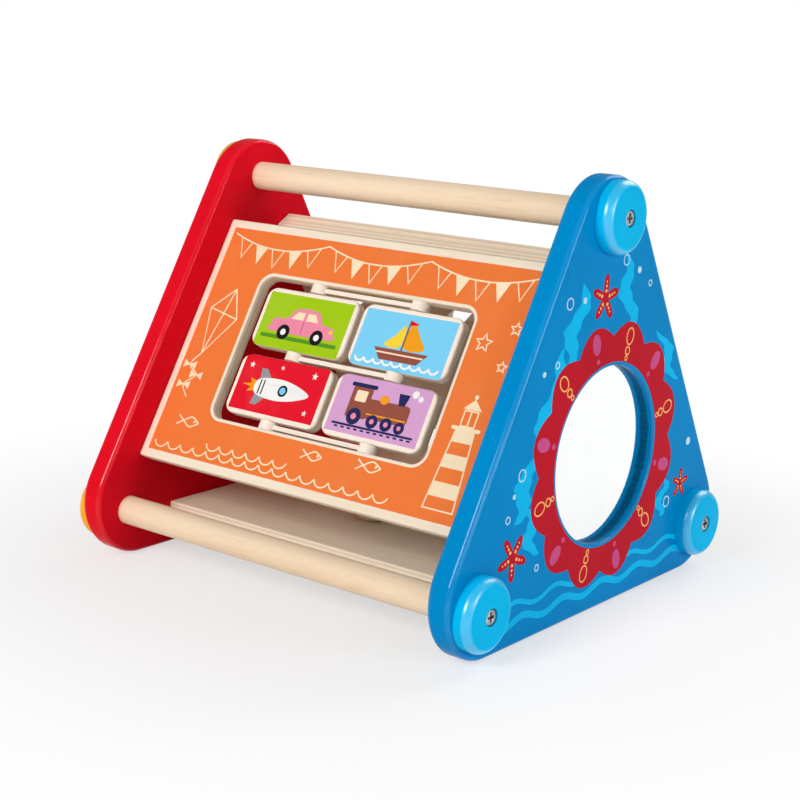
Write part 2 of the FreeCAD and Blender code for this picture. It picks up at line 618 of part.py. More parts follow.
def make_cap(label, axis, end_place, turn):
    """Turned cap: flat on the panel, round outer edge, counterbored for the screw's head."""
    y_place, z_place = AXES[axis]
    body = new_body(label, end_place, y_place, z_place, turn)
    sketch = new_sketch(body, "profile", "XY")
    add_outline(sketch, (
        ("0", "Derived.shank_hole_radius"),
        ("Derived.head_seat", "Derived.shank_hole_radius"),
        ("Derived.head_seat", "Derived.counterbore_radius"),
        ("Sizes.cap_height", "Derived.counterbore_radius"),
        ("Sizes.cap_height", "Derived.cap_radius"),
        ("0", "Derived.cap_radius"),
    ))
    turned = revolve(body, sketch, "H_Axis")
    rims = []
    for name in edges_at(turned.Shape, "X", value("Sizes.cap_height")):
        if turned.Shape.getElement(name).BoundBox.YLength > value("Derived.cap_radius"):
            rims.append(name)
    round_edges(body, turned, rims, "Sizes.cap_edge_radius")
    nodes.append(body)


def make_screw(label, axis, end_place, turn):
    """Pan head screw with a cross recess and a pointed shank."""
    y_place, z_place = AXES[axis]
    body = new_body(label, end_place, y_place, z_place, turn)
    sketch = new_sketch(body, "profile", "XY")
    add_outline(sketch, (
        ("-Derived.shank_length", "0"),
        ("Sizes.screw_head_height", "0"),
        ("Sizes.screw_head_height", "Derived.head_radius"),
        ("0", "Derived.head_radius"),
        ("0", "Derived.shank_radius"),
        ("-Derived.shank_shoulder", "Derived.shank_radius"),
    ))
    turned = revolve(body, sketch, "H_Axis")
    rim = edges_at(turned.Shape, "X", value("Sizes.screw_head_height"))
    domed = round_edges(body, turned, rim, "Sizes.screw_dome")
    slot = new_sketch(body, "cross", "YZ", "Sizes.screw_head_height")
    add_outline(slot, (
        ("-Derived.cross_half_length", "-Derived.cross_half_width"),
        ("Derived.cross_half_length", "-Derived.cross_half_width"),
        ("Derived.cross_half_length", "Derived.cross_half_width"),
        ("-Derived.cross_half_length", "Derived.cross_half_width"),
    ))
    first_slot = cut(body, slot, "Sizes.cross_depth")
    cross = body.newObject("PartDesign::PolarPattern", f"{body.Name}_cross_pattern")
    cross.Originals = [first_slot]
    cross.Axis = (next(item for item in body.Origin.OriginFeatures if item.Role == "X_Axis"), [""])
    cross.Angle = 90
    cross.Occurrences = 2
    body.Tip = cross
    doc.recompute()
    if body.Shape.Volume > first_slot.Shape.Volume - NEAR or domed.Shape.isNull():
        raise RuntimeError(f"{cross.Name} cuts nothing")
    return body


# ---------------------------------------------------------------- boards and their pins

def make_board(label, side, thickness, back):
    """Board with round corners and soft edges, lying in a side's frame."""
    body = side_body(label, side, "Derived.half_side", back)
    sketch = new_sketch(body, "outline", "XY")
    add_rounded_rectangle(sketch, "Derived.half_board", "Derived.half_board_width", "Sizes.board_corner")
    plate = pad(body, sketch, thickness)
    soft = edges_at(plate.Shape, "Z", 0.0, value(thickness))
    round_edges(body, plate, soft, "Sizes.board_roundover")
    nodes.append(body)
    return body


def drill_pin_holes(board):
    """Two blind holes for pins in each end of a board."""
    for end, sign in ENDS.items():
        sketch = new_sketch(board, f"{end}_pin_holes", "YZ", f"{sign}Derived.half_board")
        for across in ("Derived.half_pin_spacing", "-Derived.half_pin_spacing"):
            add_circle(sketch, across, "Derived.mid_board", "Derived.pin_hole_radius")
        cut(board, sketch, "Derived.board_hole_depth", backwards=end == "red")


def pin_places():
    """Work out where the pins of each board meet the end panels, as sizes of the box."""
    backs = {"front": "Derived.board_back", "rear": "Derived.rear_back", "base": "Derived.board_back"}
    places = []
    for side, back in backs.items():
        for height in ("low", "high"):
            y_place, z_place = side_place(side, f"Derived.{height}_pin", f"{back} + Derived.mid_board")
            across = derive(f"{side}_{height}_pin_y", y_place)
            up = derive(f"{side}_{height}_pin_z", z_place)
            places.append((across, up))
    return places


def make_pins(places):
    """Locating pins, two at each end of each board, as one group."""
    pins = []
    for number, (across, up) in enumerate(places, start=1):
        for end, start in (("blue", "Derived.pin_start"), ("red", "-Derived.pin_start - Sizes.pin_length")):
            pin = doc.addObject("Part::Cylinder", f"pin_{end}_{number}")
            pin.setExpression("Radius", "Derived.pin_radius")
            pin.setExpression("Height", "Sizes.pin_length")
            set_place(pin, start, across, up, FreeCAD.Rotation(Y_AXIS, 90))
            pins.append(pin)
    group("board_pins", pins)


# ---------------------------------------------------------------- turning tiles

def make_front_board():
    """Front board with its window and the seats of the two tile axles."""
    board = make_board("front_board", "front", "Sizes.board_thickness", "Derived.board_back")
    window = new_sketch(board, "window", "XY")
    add_rounded_rectangle(window, "Derived.half_window", "Derived.half_window_height", "Sizes.window_corner")
    opened = cut(board, window, "Sizes.board_thickness", backwards=True)
    rims = hole_edges(opened.Shape, "Z", 0.0, value("Sizes.board_thickness"))
    round_edges(board, opened, rims, "Sizes.window_roundover")
    seats = new_sketch(board, "axle_seats", "XZ")
    for across in ("-Derived.half_axle_spacing", "Derived.half_axle_spacing"):
        add_circle(seats, across, "Derived.axle_level", "Derived.axle_seat_radius")
    cut(board, seats, "Derived.axle_length", centred=True)
    drill_pin_holes(board)


def make_tile(label, along, x_place):
    """Picture tile with a bore for its axle."""
    body = side_body(label, "front", along, "Derived.axle_out", x_place)
    sketch = new_sketch(body, "outline", "XY")
    add_rounded_rectangle(sketch, "Derived.half_tile", "Derived.half_tile_height", "Sizes.tile_corner")
    plate = pad(body, sketch, "Sizes.tile_thickness", centred=True)
    half = value("Sizes.tile_thickness") / 2
    round_edges(body, plate, edges_at(plate.Shape, "Z", half, -half), "Sizes.tile_roundover")
    bore = new_sketch(body, "bore", "XZ")
    add_circle(bore, "0", "0", "Derived.tile_bore_radius")
    cut(body, bore, "Derived.tile_height", centred=True)
    nodes.append(body)


def make_axle(label, x_place):
    """Thin axle through one column of tiles, seated in the board at both ends."""
    body = side_body(label, "front", "Derived.half_side", "Derived.axle_out", x_place)
    sketch = new_sketch(body, "section", "XZ")
    add_circle(sketch, "0", "0", "Derived.axle_radius")
    rod = pad(body, sketch, "Derived.axle_length", centred=True)
    half = value("Derived.axle_length") / 2
    bevel_edges(body, rod, edges_at(rod.Shape, "Y", half, -half), "Sizes.axle_chamfer")
    nodes.append(body)


def make_spacer(label, along, hub_height):
    """Two hubs on the axles, joined by a thin bar."""
    body = side_body(label, "front", along, "Derived.axle_out")
    bar = new_sketch(body, "bar", "XZ")
    add_outline(bar, (
        ("-Derived.half_axle_spacing", "-Derived.half_bar_depth"),
        ("Derived.half_axle_spacing", "-Derived.half_bar_depth"),
        ("Derived.half_axle_spacing", "Derived.half_bar_depth"),
        ("-Derived.half_axle_spacing", "Derived.half_bar_depth"),
    ))
    pad(body, bar, "Sizes.bar_height", centred=True)
    hubs = new_sketch(body, "hubs", "XZ")
    bores = new_sketch(body, "bores", "XZ")
    for across in ("-Derived.half_axle_spacing", "Derived.half_axle_spacing"):
        add_circle(hubs, across, "0", "Derived.hub_radius")
        add_circle(bores, across, "0", "Derived.axle_seat_radius")
    pad(body, hubs, hub_height, centred=True)
    cut(body, bores, hub_height, centred=True)
    nodes.append(body)


# ---------------------------------------------------------------- slotted rear board and its sliders

def cut_maze(board, thickness, open_face):
    """Cut the three slots through a layer of the rear board and soften their rims on its open face."""
    for name, across in (("left_arch", "-Sizes.left_arch"), ("right_arch", "Sizes.right_arch")):
        sketch = new_sketch(board, name, "XY")
        add_arch_slot(sketch, across)
        cut(board, sketch, thickness, backwards=True)
    straight = new_sketch(board, "straight_slot", "XY")
    add_straight_slot(straight, "Sizes.straight_slot", "Derived.half_travel", "Derived.half_slot")
    slotted = cut(board, straight, thickness, backwards=True)
    rims = hole_edges(slotted.Shape, "Z", value(open_face))
    round_edges(board, slotted, rims, "Sizes.slot_roundover")


def make_slider(name, x_place, along):
    """Turned knob with a stem through the slot, and the retaining disc on its inner end."""
    knob = side_body(f"{name}_knob", "rear", along, "Sizes.board_face", x_place)
    profile = new_sketch(knob, "profile", "XZ")
    add_outline(profile, (
        ("0", "-Derived.stem_end"),
        ("Derived.stem_radius", "-Derived.stem_end"),
        ("Derived.stem_radius", "Sizes.slider_play"),
        ("Derived.knob_radius", "Sizes.slider_play"),
        ("Derived.knob_radius", "Derived.knob_top"),
        ("0", "Derived.knob_top"),
    ))
    turned = revolve(knob, profile, "V_Axis")
    rim = edges_at(turned.Shape, "Z", value("Derived.knob_top"))
    round_edges(knob, turned, rim, "Sizes.knob_round")
    nodes.append(knob)

    retainer = side_body(f"{name}_retainer", "rear", along, "Derived.retainer_back", x_place)
    disc = new_sketch(retainer, "disc", "XY")
    add_circle(disc, "0", "0", "Derived.retainer_radius")
    plate = pad(retainer, disc, "Sizes.retainer_thickness")
    round_edges(retainer, plate, edges_at(plate.Shape, "Z", 0.0), "Sizes.retainer_round")
    bore = new_sketch(retainer, "bore", "XY")
    add_circle(bore, "0", "0", "Derived.retainer_bore")
    cut(retainer, bore, "Sizes.retainer_thickness", backwards=True)
    nodes.append(retainer)


# ---------------------------------------------------------------- base board and its turning disc

def make_base():
    """Base board, the disc that turns under it, and the peg whose knob holds the disc on."""
    board = make_board("base_board", "base", "Sizes.board_thickness", "Derived.board_back")
    bore = new_sketch(board, "peg_bore", "XY")
    add_circle(bore, "-Sizes.spinner_left", "Sizes.spinner_front", "Derived.spinner_board_bore")
    cut(board, bore, "Sizes.board_thickness", backwards=True)
    drill_pin_holes(board)

    across, along = "-Sizes.spinner_left", "Derived.spinner_along"
    disc = side_body("base_disc", "base", along, "Derived.spinner_back", across)
    outline = new_sketch(disc, "outline", "XY")
    add_circle(outline, "0", "0", "Derived.spinner_radius")
    plate = pad(disc, outline, "Sizes.spinner_thickness")
    rims = edges_at(plate.Shape, "Z", 0.0, value("Sizes.spinner_thickness"))
    round_edges(disc, plate, rims, "Sizes.spinner_round")
    hole = new_sketch(disc, "hole", "XY")
    add_circle(hole, "0", "0", "Derived.spinner_bore")
    cut(disc, hole, "Sizes.spinner_thickness", backwards=True)
    nodes.append(disc)

    peg = side_body("base_disc_peg", "base", along, "Sizes.board_face", across)
    profile = new_sketch(peg, "profile", "XZ")
    add_outline(profile, (
        ("0", "-Derived.spinner_knob_end"),
        ("Derived.spinner_knob_radius", "-Derived.spinner_knob_end"),
        ("Derived.spinner_knob_radius", "-Derived.spinner_knob_face"),
        ("Derived.spinner_stem_radius", "-Derived.spinner_knob_face"),
        ("Derived.spinner_stem_radius", "Derived.spinner_peg_end"),
        ("0", "Derived.spinner_peg_end"),
    ))
    turned = revolve(peg, profile, "V_Axis")
    knob_ends = (-value("Derived.spinner_knob_end"), -value("Derived.spinner_knob_face"))
    rims = []
    for name in edges_at(turned.Shape, "Z", *knob_ends):
        if turned.Shape.getElement(name).BoundBox.XLength > value("Derived.spinner_knob_radius"):
            rims.append(name)
    round_edges(peg, turned, rims, "Sizes.spinner_knob_round")
    nodes.append(peg)


# ---------------------------------------------------------------- assembly, checks and export

def build():
    """Make every piece of the box."""
    places = pin_places()
    blue = make_end_panel("blue_end_panel", "Derived.half_inner", True, places)
    make_mirror_recess(blue)
    nodes.append(blue)
    nodes.append(make_end_panel("red_end_panel", "-Derived.half_inner", False, places))
    make_mirror()
    for label, axis in (("handle_dowel", "top"), ("front_dowel", "front"), ("rear_dowel", "rear")):
        make_dowel(label, axis)

    outward_turns = {"blue": ("", FreeCAD.Rotation()), "yellow": ("-", FreeCAD.Rotation(Z_AXIS, 180))}
    for colour, (sign, turn) in outward_turns.items():
        screws = []
        for axis in AXES:
            make_cap(f"{colour}_cap_{axis}", axis, f"{sign}Derived.half_length", turn)
            screws.append(make_screw(f"{colour}_screw_{axis}", axis, f"{sign}Derived.head_place", turn))
        group(f"{colour}_cap_screws", screws)

    make_front_board()
    for column, sign in (("left", "-"), ("right", "")):
        make_axle(f"tile_axle_{column}", f"{sign}Derived.half_axle_spacing")
        for row in ("upper", "lower"):
            make_tile(f"{row}_{column}_tile", f"Derived.{row}_tile", f"{sign}Derived.half_axle_spacing")
    make_spacer("top_tile_spacer", "Derived.top_hub", "Derived.end_hub_height")
    make_spacer("middle_tile_spacer", "Derived.half_side", "Derived.middle_hub_height")
    make_spacer("bottom_tile_spacer", "Derived.bottom_hub", "Derived.end_hub_height")

    rear = make_board("rear_board", "rear", "Sizes.board_thickness", "Derived.rear_back")
    cut_maze(rear, "Sizes.board_thickness", "0")
    drill_pin_holes(rear)
    maze = make_board("maze_board", "rear", "Sizes.maze_layer", "Derived.maze_back")
    cut_maze(maze, "Sizes.maze_layer", "Sizes.maze_layer")
    make_slider("left_slider", "Derived.left_slider_x", "Derived.arch_slider_along")
    make_slider("middle_slider", "Derived.right_slider_x", "Derived.arch_slider_along")
    make_slider("right_slider", "Sizes.straight_slot", "Derived.straight_slider_along")

    make_base()
    make_pins(places)


def check():
    """Stop before writing if any object failed or any piece has no sound solid."""
    doc.recompute()
    for item in doc.Objects:
        if "Invalid" in item.State or "Error" in item.State:
            raise RuntimeError(f"{item.Label} failed: {item.State}")
    for node in nodes:
        shape = node.Shape
        if shape.isNull() or not shape.isValid() or not shape.Solids:
            raise RuntimeError(f"{node.Label} has no sound solid")


def export():
    """Write each piece to its own file."""
    os.makedirs("parts", exist_ok=True)
    for node in nodes:
        node.Shape.exportStep(f"parts/{node.Label}.step")


fill_sheet()
for derived_name, formula in DERIVED:
    derive(derived_name, formula)
build()
check()
export()
for node in nodes:
    print(f"{node.Label}: {len(node.Shape.Solids)} solid, {node.Shape.Volume / 1000:.2f} cm3")
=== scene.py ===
"""Looks of a triangular wooden activity box: finishes, printed motifs, studio light, floor and camera.

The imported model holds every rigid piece.  This script adds the printing on the end panel, the tile board, the
tiles, the slotted board and the turning disc as thin layers of ink, gives each piece its finish, and sets up
the studio.  Places on a face are in millimetres from the face's own middle; Blender's own lengths are metres.
"""
import json
import logging
import math
from abc import ABC, abstractmethod
from collections.abc import Callable, Sequence
from dataclasses import dataclass, field, replace
from enum import Enum

import bpy
from mathutils import Matrix, Vector
from mathutils.geometry import delaunay_2d_cdt

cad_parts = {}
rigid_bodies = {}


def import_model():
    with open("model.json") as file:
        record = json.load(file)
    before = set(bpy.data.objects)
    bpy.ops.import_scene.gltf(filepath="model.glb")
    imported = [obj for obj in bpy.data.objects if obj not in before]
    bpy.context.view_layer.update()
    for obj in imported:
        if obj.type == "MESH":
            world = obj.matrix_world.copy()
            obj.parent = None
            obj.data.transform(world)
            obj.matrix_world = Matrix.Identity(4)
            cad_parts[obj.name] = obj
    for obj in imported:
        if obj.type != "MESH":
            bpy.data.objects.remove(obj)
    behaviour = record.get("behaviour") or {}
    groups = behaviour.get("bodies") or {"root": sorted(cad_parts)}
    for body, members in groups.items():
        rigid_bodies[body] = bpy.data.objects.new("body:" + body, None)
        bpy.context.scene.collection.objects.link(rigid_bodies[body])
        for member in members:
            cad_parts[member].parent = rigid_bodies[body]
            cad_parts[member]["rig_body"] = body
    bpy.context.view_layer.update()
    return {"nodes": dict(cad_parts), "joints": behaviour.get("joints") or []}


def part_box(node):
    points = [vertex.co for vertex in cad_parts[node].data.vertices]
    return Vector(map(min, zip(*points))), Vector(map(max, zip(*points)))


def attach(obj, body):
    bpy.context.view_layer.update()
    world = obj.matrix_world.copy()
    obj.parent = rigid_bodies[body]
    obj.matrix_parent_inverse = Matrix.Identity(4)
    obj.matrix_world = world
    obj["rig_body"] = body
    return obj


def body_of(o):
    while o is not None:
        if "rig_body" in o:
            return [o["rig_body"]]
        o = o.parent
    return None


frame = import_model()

LOG = logging.getLogger("activity_box")
MM = 0.001
WHOLE_TURN = 2 * math.pi

Point = tuple[float, float]
Outline = list[Point]
Triple = tuple[float, float, float]

X_AXIS = Vector((1, 0, 0))
Y_AXIS = Vector((0, 1, 0))
Z_AXIS = Vector((0, 0, 1))


class Ink(Enum):
    """Paints, inks, bare materials and one painted shade for a recess, as 8-bit display colours."""

    SEA_BLUE = (0, 136, 200)
    LIGHT_BLUE = (2, 185, 237)
    SIGNAL_RED = (228, 16, 36)
    DEEP_RED = (190, 16, 38)
    WARM_YELLOW = (250, 176, 36)
    ORANGE = (236, 116, 44)
    CREAM = (252, 228, 190)
    PEACH = (250, 190, 110)
    ROSE = (200, 80, 135)
    FOAM = (190, 228, 246)
    LIME = (160, 198, 16)
    LEAF = (86, 150, 40)
    PINK = (240, 140, 165)
    SKY = (122, 206, 242)
    MARIGOLD = (244, 160, 30)
    LEMON = (250, 214, 60)
    SCARLET = (226, 14, 40)
    LILAC = (212, 160, 203)
    CHESTNUT = (150, 82, 66)
    NAVY = (40, 44, 92)
    WHITE = (246, 244, 240)
    GREY = (150, 150, 152)
    BLACK = (30, 28, 30)
    BEECH = (243, 219, 190)
    BEECH_GRAIN = (232, 202, 168)
    BEECH_FLECK = (206, 168, 130)
    BIRCH = (243, 229, 208)
    BIRCH_GRAIN = (234, 214, 188)
    BIRCH_FLECK = (214, 186, 154)
    PLY_SHADE = (216, 190, 160)
    MAPLE = (249, 236, 222)
    MAPLE_GRAIN = (242, 224, 206)
    MAPLE_FLECK = (222, 196, 172)
    # Painted shade that darkens the foot of the mirror recess's wall.
    DEEP_SEA = (6, 58, 86)
    STEEL = (196, 196, 194)
    STEEL_SHADE = (140, 140, 140)
    SILVER = (253, 254, 254)
    SHADOW = (0, 0, 0)

    @property
    def words(self) -> str:
        """The ink's name in plain words."""
        return self.name.lower()

    def linear(self) -> tuple[float, float, float, float]:
        """The colour as linear light, with full alpha, for a shader socket.

        Returns:
            Red, green, blue and alpha, each from 0 to 1.
        """
        parts = []
        for level in self.value:
            share = level / 255
            parts.append(share / 12.92 if share <= 0.04045 else ((share + 0.055) / 1.055) ** 2.4)
        return (*parts, 1.0)


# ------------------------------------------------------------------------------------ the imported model


def joint(name: str) -> dict:
    """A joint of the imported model, by name."""
    return next(item for item in frame["joints"] if item["name"] == name)


def joint_axis(name: str) -> Vector:
    """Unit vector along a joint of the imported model."""
    return Vector(joint(name)["axis"]).normalized()


def middle_of(node: str) -> Vector:
    """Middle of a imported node's box, in metres."""
    low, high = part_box(node)
    return (low + high) / 2


@dataclass(frozen=True)
class Face:
    """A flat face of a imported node: where its middle lies and which way it reads.

    Attributes:
        node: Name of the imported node.
        origin: Middle of the face, in metres.
        across: Unit vector to the reader's right.
        up: Unit vector up the face.
        half_width: Half of the face's width, in millimetres.
        half_height: Half of the face's height, in millimetres.
    """

    node: str
    origin: Vector
    across: Vector
    up: Vector
    half_width: float
    half_height: float

    @property
    def out(self) -> Vector:
        """Unit vector out of the face."""
        return self.across.cross(self.up)

    @classmethod
    def of_node(cls, node: str, across: Vector, up: Vector) -> "Face":
        """Find the outermost face of a node along the direction across x up.

        Args:
            node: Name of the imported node.
            across: Unit vector to the reader's right.
            up: Unit vector up the face.

        Returns:
            The face, with its middle at the middle of the node's extent.
        """
        out = across.cross(up)
        corners = [vertex.co for vertex in frame["nodes"][node].data.vertices]
        spans = []
        for axis in (across, up, out):
            reach = [corner.dot(axis) for corner in corners]
            spans.append((min(reach), max(reach)))
        (left, right), (low, high), (_, face) = spans
        origin = across * (left + right) / 2 + up * (low + high) / 2 + out * face
        return cls(node, origin, across, up, (right - left) / 2 / MM, (high - low) / 2 / MM)

    def moved(self, u: float, v: float) -> "Face":
        """The same face with its origin moved by u and v millimetres."""
        return replace(self, origin=self.place(u, v, 0))

    def along(self, point: Vector) -> Point:
        """A point's place across and up the face, in millimetres."""
        reach = point - self.origin
        return (reach.dot(self.across) / MM, reach.dot(self.up) / MM)

    def place(self, u: float, v: float, height: float) -> Vector:
        """Point at u and v on the face and a height above it, all in millimetres."""
        return self.origin + (self.across * u + self.up * v + self.out * height) * MM


# ------------------------------------------------------------------------------------ outlines


def swing(centre: Point, radius: float, angle: float) -> Point:
    """Point at a distance and an angle in radians from a centre."""
    return (centre[0] + radius * math.cos(angle), centre[1] + radius * math.sin(angle))


def ellipse(centre: Point, radii: Point, turn: float = 0.0, count: int = 40) -> Outline:
    """Closed ellipse.

    Args:
        centre: Middle of the ellipse.
        radii: Radius along each of its own axes.
        turn: Angle of its first axis, in degrees.
        count: Number of corners.

    Returns:
        The outline, anticlockwise.
    """
    cosine, sine = math.cos(math.radians(turn)), math.sin(math.radians(turn))
    outline = []
    for step in range(count):
        angle = WHOLE_TURN * step / count
        a, b = radii[0] * math.cos(angle), radii[1] * math.sin(angle)
        outline.append((centre[0] + a * cosine - b * sine, centre[1] + a * sine + b * cosine))
    return outline


def circle(centre: Point, radius: float, count: int = 40) -> Outline:
    """Closed circle."""
    return ellipse(centre, (radius, radius), 0.0, count)


def arc(centre: Point, radius: float, start: float, end: float, count: int = 16) -> Outline:
    """Open arc from one angle to another, in degrees."""
    turns = (math.radians(start + (end - start) * step / count) for step in range(count + 1))
    return [swing(centre, radius, turn) for turn in turns]


def polar(centre: Point, radius_at: Callable[[float], float], count: int, turn: float = 0.0) -> Outline:
    """Closed outline whose radius is a function of the angle.

    Args:
        centre: Middle of the outline.
        radius_at: Radius at an angle in radians.
        count: Number of corners.
        turn: Angle added to each corner, in radians.

    Returns:
        The outline, anticlockwise.
    """
    angles = (WHOLE_TURN * step / count for step in range(count))
    return [swing(centre, radius_at(angle), angle + turn) for angle in angles]


def star(centre: Point, size: float, waist: float = 0.45, points: int = 5) -> Outline:
    """Closed pointed star.

    Args:
        centre: Middle of the star.
        size: Radius of its points.
        waist: Radius between the points, as a share of the size.
        points: Number of points.

    Returns:
        The outline, anticlockwise from the top.
    """
    radii = (size, size * waist)
    turns = (math.pi / 2 + math.pi * step / points for step in range(2 * points))
    return [swing(centre, radii[step % 2], turn) for step, turn in enumerate(turns)]


def rounded_box(centre: Point, half_size: Point, radius: float, count: int = 6) -> Outline:
    """Closed rectangle with round corners.

    Args:
        centre: Middle of the rectangle.
        half_size: Half of its width and of its height.
        radius: Radius of its corners.
        count: Stretches in each corner.

    Returns:
        The outline, anticlockwise.
    """
    outline = []
    for quarter, (side_u, side_v) in enumerate(((1, 1), (-1, 1), (-1, -1), (1, -1))):
        middle = (centre[0] + side_u * (half_size[0] - radius), centre[1] + side_v * (half_size[1] - radius))
        outline += arc(middle, radius, 90 * quarter, 90 * quarter + 90, count)
    return outline


def smooth(points: Sequence[Point], closed: bool = False, steps: int = 8) -> Outline:
    """Curve through the points, each stretch a Catmull-Rom segment.

    Args:
        points: Points that the curve passes.
        closed: Whether the curve returns to its start.
        steps: Corners for each stretch.

    Returns:
        The points of the curve.
    """
    count = len(points)
    curve = []
    for index in range(count if closed else count - 1):
        around = [index + shift for shift in (-1, 0, 1, 2)]
        if closed:
            stretch = [points[number % count] for number in around]
        else:
            stretch = [points[min(max(number, 0), count - 1)] for number in around]
        for step in range(steps):
            share = step / steps
            point = []
            for a, b, c, d in zip(*stretch):
                bend = 2 * a - 5 * b + 4 * c - d
                twist = 3 * b - a - 3 * c + d
                point.append(b + 0.5 * share * ((c - a) + share * (bend + share * twist)))
            curve.append(tuple(point))
    if not closed:
        curve.append(tuple(points[-1]))
    return curve


def offset(points: Sequence[Point], distance: float, closed: bool) -> Outline:
    """Points moved to the left of a path, with mitred corners.

    Args:
        points: Corners of the path.
        distance: How far to move, in millimetres.
        closed: Whether the path returns to its start.

    Returns:
        One point for each corner.
    """
    count = len(points)
    sharpest = 0.25
    moved = []
    for index, (u, v) in enumerate(points):
        before = points[(index - 1) % count] if closed or index else points[0]
        after = points[(index + 1) % count] if closed or index < count - 1 else points[-1]
        normals = []
        for start, end in ((before, (u, v)), ((u, v), after)):
            run, rise = end[0] - start[0], end[1] - start[1]
            length = math.hypot(run, rise)
            if length > 0:
                normals.append((-rise / length, run / length))
        mean_u, mean_v = (sum(parts) / len(normals) for parts in zip(*normals))
        stretch = max(mean_u * mean_u + mean_v * mean_v, sharpest)
        moved.append((u + distance * mean_u / stretch, v + distance * mean_v / stretch))
    return moved


def area(outline: Sequence[Point]) -> float:
    """Area inside a closed outline, negative if it runs clockwise."""
    edges = zip(outline, [*outline[1:], outline[0]])
    return sum((u * next_v - next_u * v) / 2 for (u, v), (next_u, next_v) in edges)


# ------------------------------------------------------------------------------------ printed layers


@dataclass(frozen=True)
class Shape:
    """One flat shape of ink.

    Attributes:
        ink: Its colour.
        layer: Which layer it lies on.
        corners: Its corners on the face.
        faces: The anticlockwise faces between them.
    """

    ink: Ink
    layer: int
    corners: Outline
    faces: list[tuple[int, ...]]

    def walls(self) -> list[tuple[int, int]]:
        """Edges that only one face uses, in that face's direction.

        Returns:
            The first and last corner of each edge.
        """
        edges = set()
        for face in self.faces:
            edges.update(zip(face, (*face[1:], face[0])))
        return sorted(edge for edge in edges if edge[::-1] not in edges)

    def solid(self, first: int) -> list[tuple[int, ...]]:
        """Faces of the closed layer: its top, its underside and the walls between.

        Args:
            first: Index of its first corner; its raised corners follow all the lower ones.

        Returns:
            The faces, all of them outward.
        """
        raised = first + len(self.corners)
        faces = []
        for face in self.faces:
            faces.append(tuple(raised + index for index in face))
            faces.append(tuple(first + index for index in face[::-1]))
        for start, end in self.walls():
            faces.append((first + start, first + end, raised + end, raised + start))
        return faces


@dataclass
class Print:
    """Printed motifs on one face, each a thin closed layer of ink.

    Attributes:
        face: The face that is printed.
        first_height: Height of the lowest layer, in millimetres.
        layer_height: Height that each further layer adds, in millimetres.
        shape_height: Height that each further shape adds, so that no two lie level, in millimetres.
        sunk: Depth to which a layer reaches below the face, in millimetres.
        shapes: The shapes that are printed so far.
    """

    face: Face
    first_height: float = 0.04
    layer_height: float = 0.03
    shape_height: float = 0.0004
    sunk: float = 0.02
    shapes: list[Shape] = field(default_factory=list)

    def fill(self, outline: Outline, ink: Ink, layer: int = 0) -> None:
        """Print the inside of a closed outline.

        Args:
            outline: Corners in either direction.
            ink: Colour of the shape.
            layer: Which layer it lies on.
        """
        ring = outline if area(outline) > 0 else outline[::-1]
        inside_only, nearest = 1, 1e-5
        points, _, faces, *_ = delaunay_2d_cdt(
            [Vector(corner) for corner in ring], [], [list(range(len(ring)))], inside_only, nearest,
        )
        self.shapes.append(Shape(ink, layer, list(map(tuple, points)), list(map(tuple, faces))))

    def dot(self, centre: Point, radius: float, ink: Ink, layer: int = 0, count: int = 40) -> None:
        """Print a round dot."""
        self.fill(circle(centre, radius, count), ink, layer)

    def band(self, outer: Outline, inner: Outline, ink: Ink, layer: int = 0, closed: bool = True) -> None:
        """Print the strip between two outlines that have as many corners.

        Args:
            outer: First outline.
            inner: Second outline.
            ink: Colour of the strip.
            layer: Which layer it lies on.
            closed: Whether the strip returns to its start.
        """
        count = len(outer)
        corners = outer + inner
        faces = []
        for index in range(count if closed else count - 1):
            after = (index + 1) % count
            faces.append((index, after, count + after, count + index))
        if sum(area([corners[index] for index in face]) for face in faces) < 0:
            faces = [face[::-1] for face in faces]
        self.shapes.append(Shape(ink, layer, corners, faces))

    def line(self, path: Outline, width: float, ink: Ink, layer: int = 0, closed: bool = False) -> None:
        """Print a line of even width, with round ends if it is open.

        Args:
            path: Middle of the line.
            width: Width in millimetres.
            ink: Colour of the line.
            layer: Which layer it lies on.
            closed: Whether the line returns to its start.
        """
        left, right = (offset(path, side * width / 2, closed) for side in (1, -1))
        self.band(left, right, ink, layer, closed)
        if not closed:
            for end, beside in ((path[0], path[1]), (path[-1], path[-2])):
                outward = math.degrees(math.atan2(end[1] - beside[1], end[0] - beside[0]))
                self.fill(arc(end, width / 2, outward - 90, outward + 90, 8), ink, layer)

    def build(self, name: str, slot: str) -> bpy.types.Object:
        """Make the mesh, ride it on the face's body and dress it.

        Args:
            name: Name of the new piece.
            slot: Name of a material slot; not used.

        Returns:
            The new object.
        """
        inks = sorted({shape.ink for shape in self.shapes}, key=lambda ink: ink.name)
        points, faces, materials = [], [], []
        for number, shape in enumerate(self.shapes):
            solid = shape.solid(len(points))
            height = self.first_height + shape.layer * self.layer_height + number * self.shape_height
            for level in (-self.sunk, height):
                points += [self.face.place(u, v, level) for u, v in shape.corners]
            faces += solid
            materials += [inks.index(shape.ink)] * len(solid)
        mesh = bpy.data.meshes.new(name)
        mesh.from_pydata(points, [], faces)
        for ink in inks:
            mesh.materials.append(InkFinish(ink).material())
        mesh.polygons.foreach_set("material_index", materials)
        piece = bpy.data.objects.new(name, mesh)
        bpy.context.scene.collection.objects.link(piece)
        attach(piece, body_of(frame["nodes"][self.face.node])[0])
        return piece


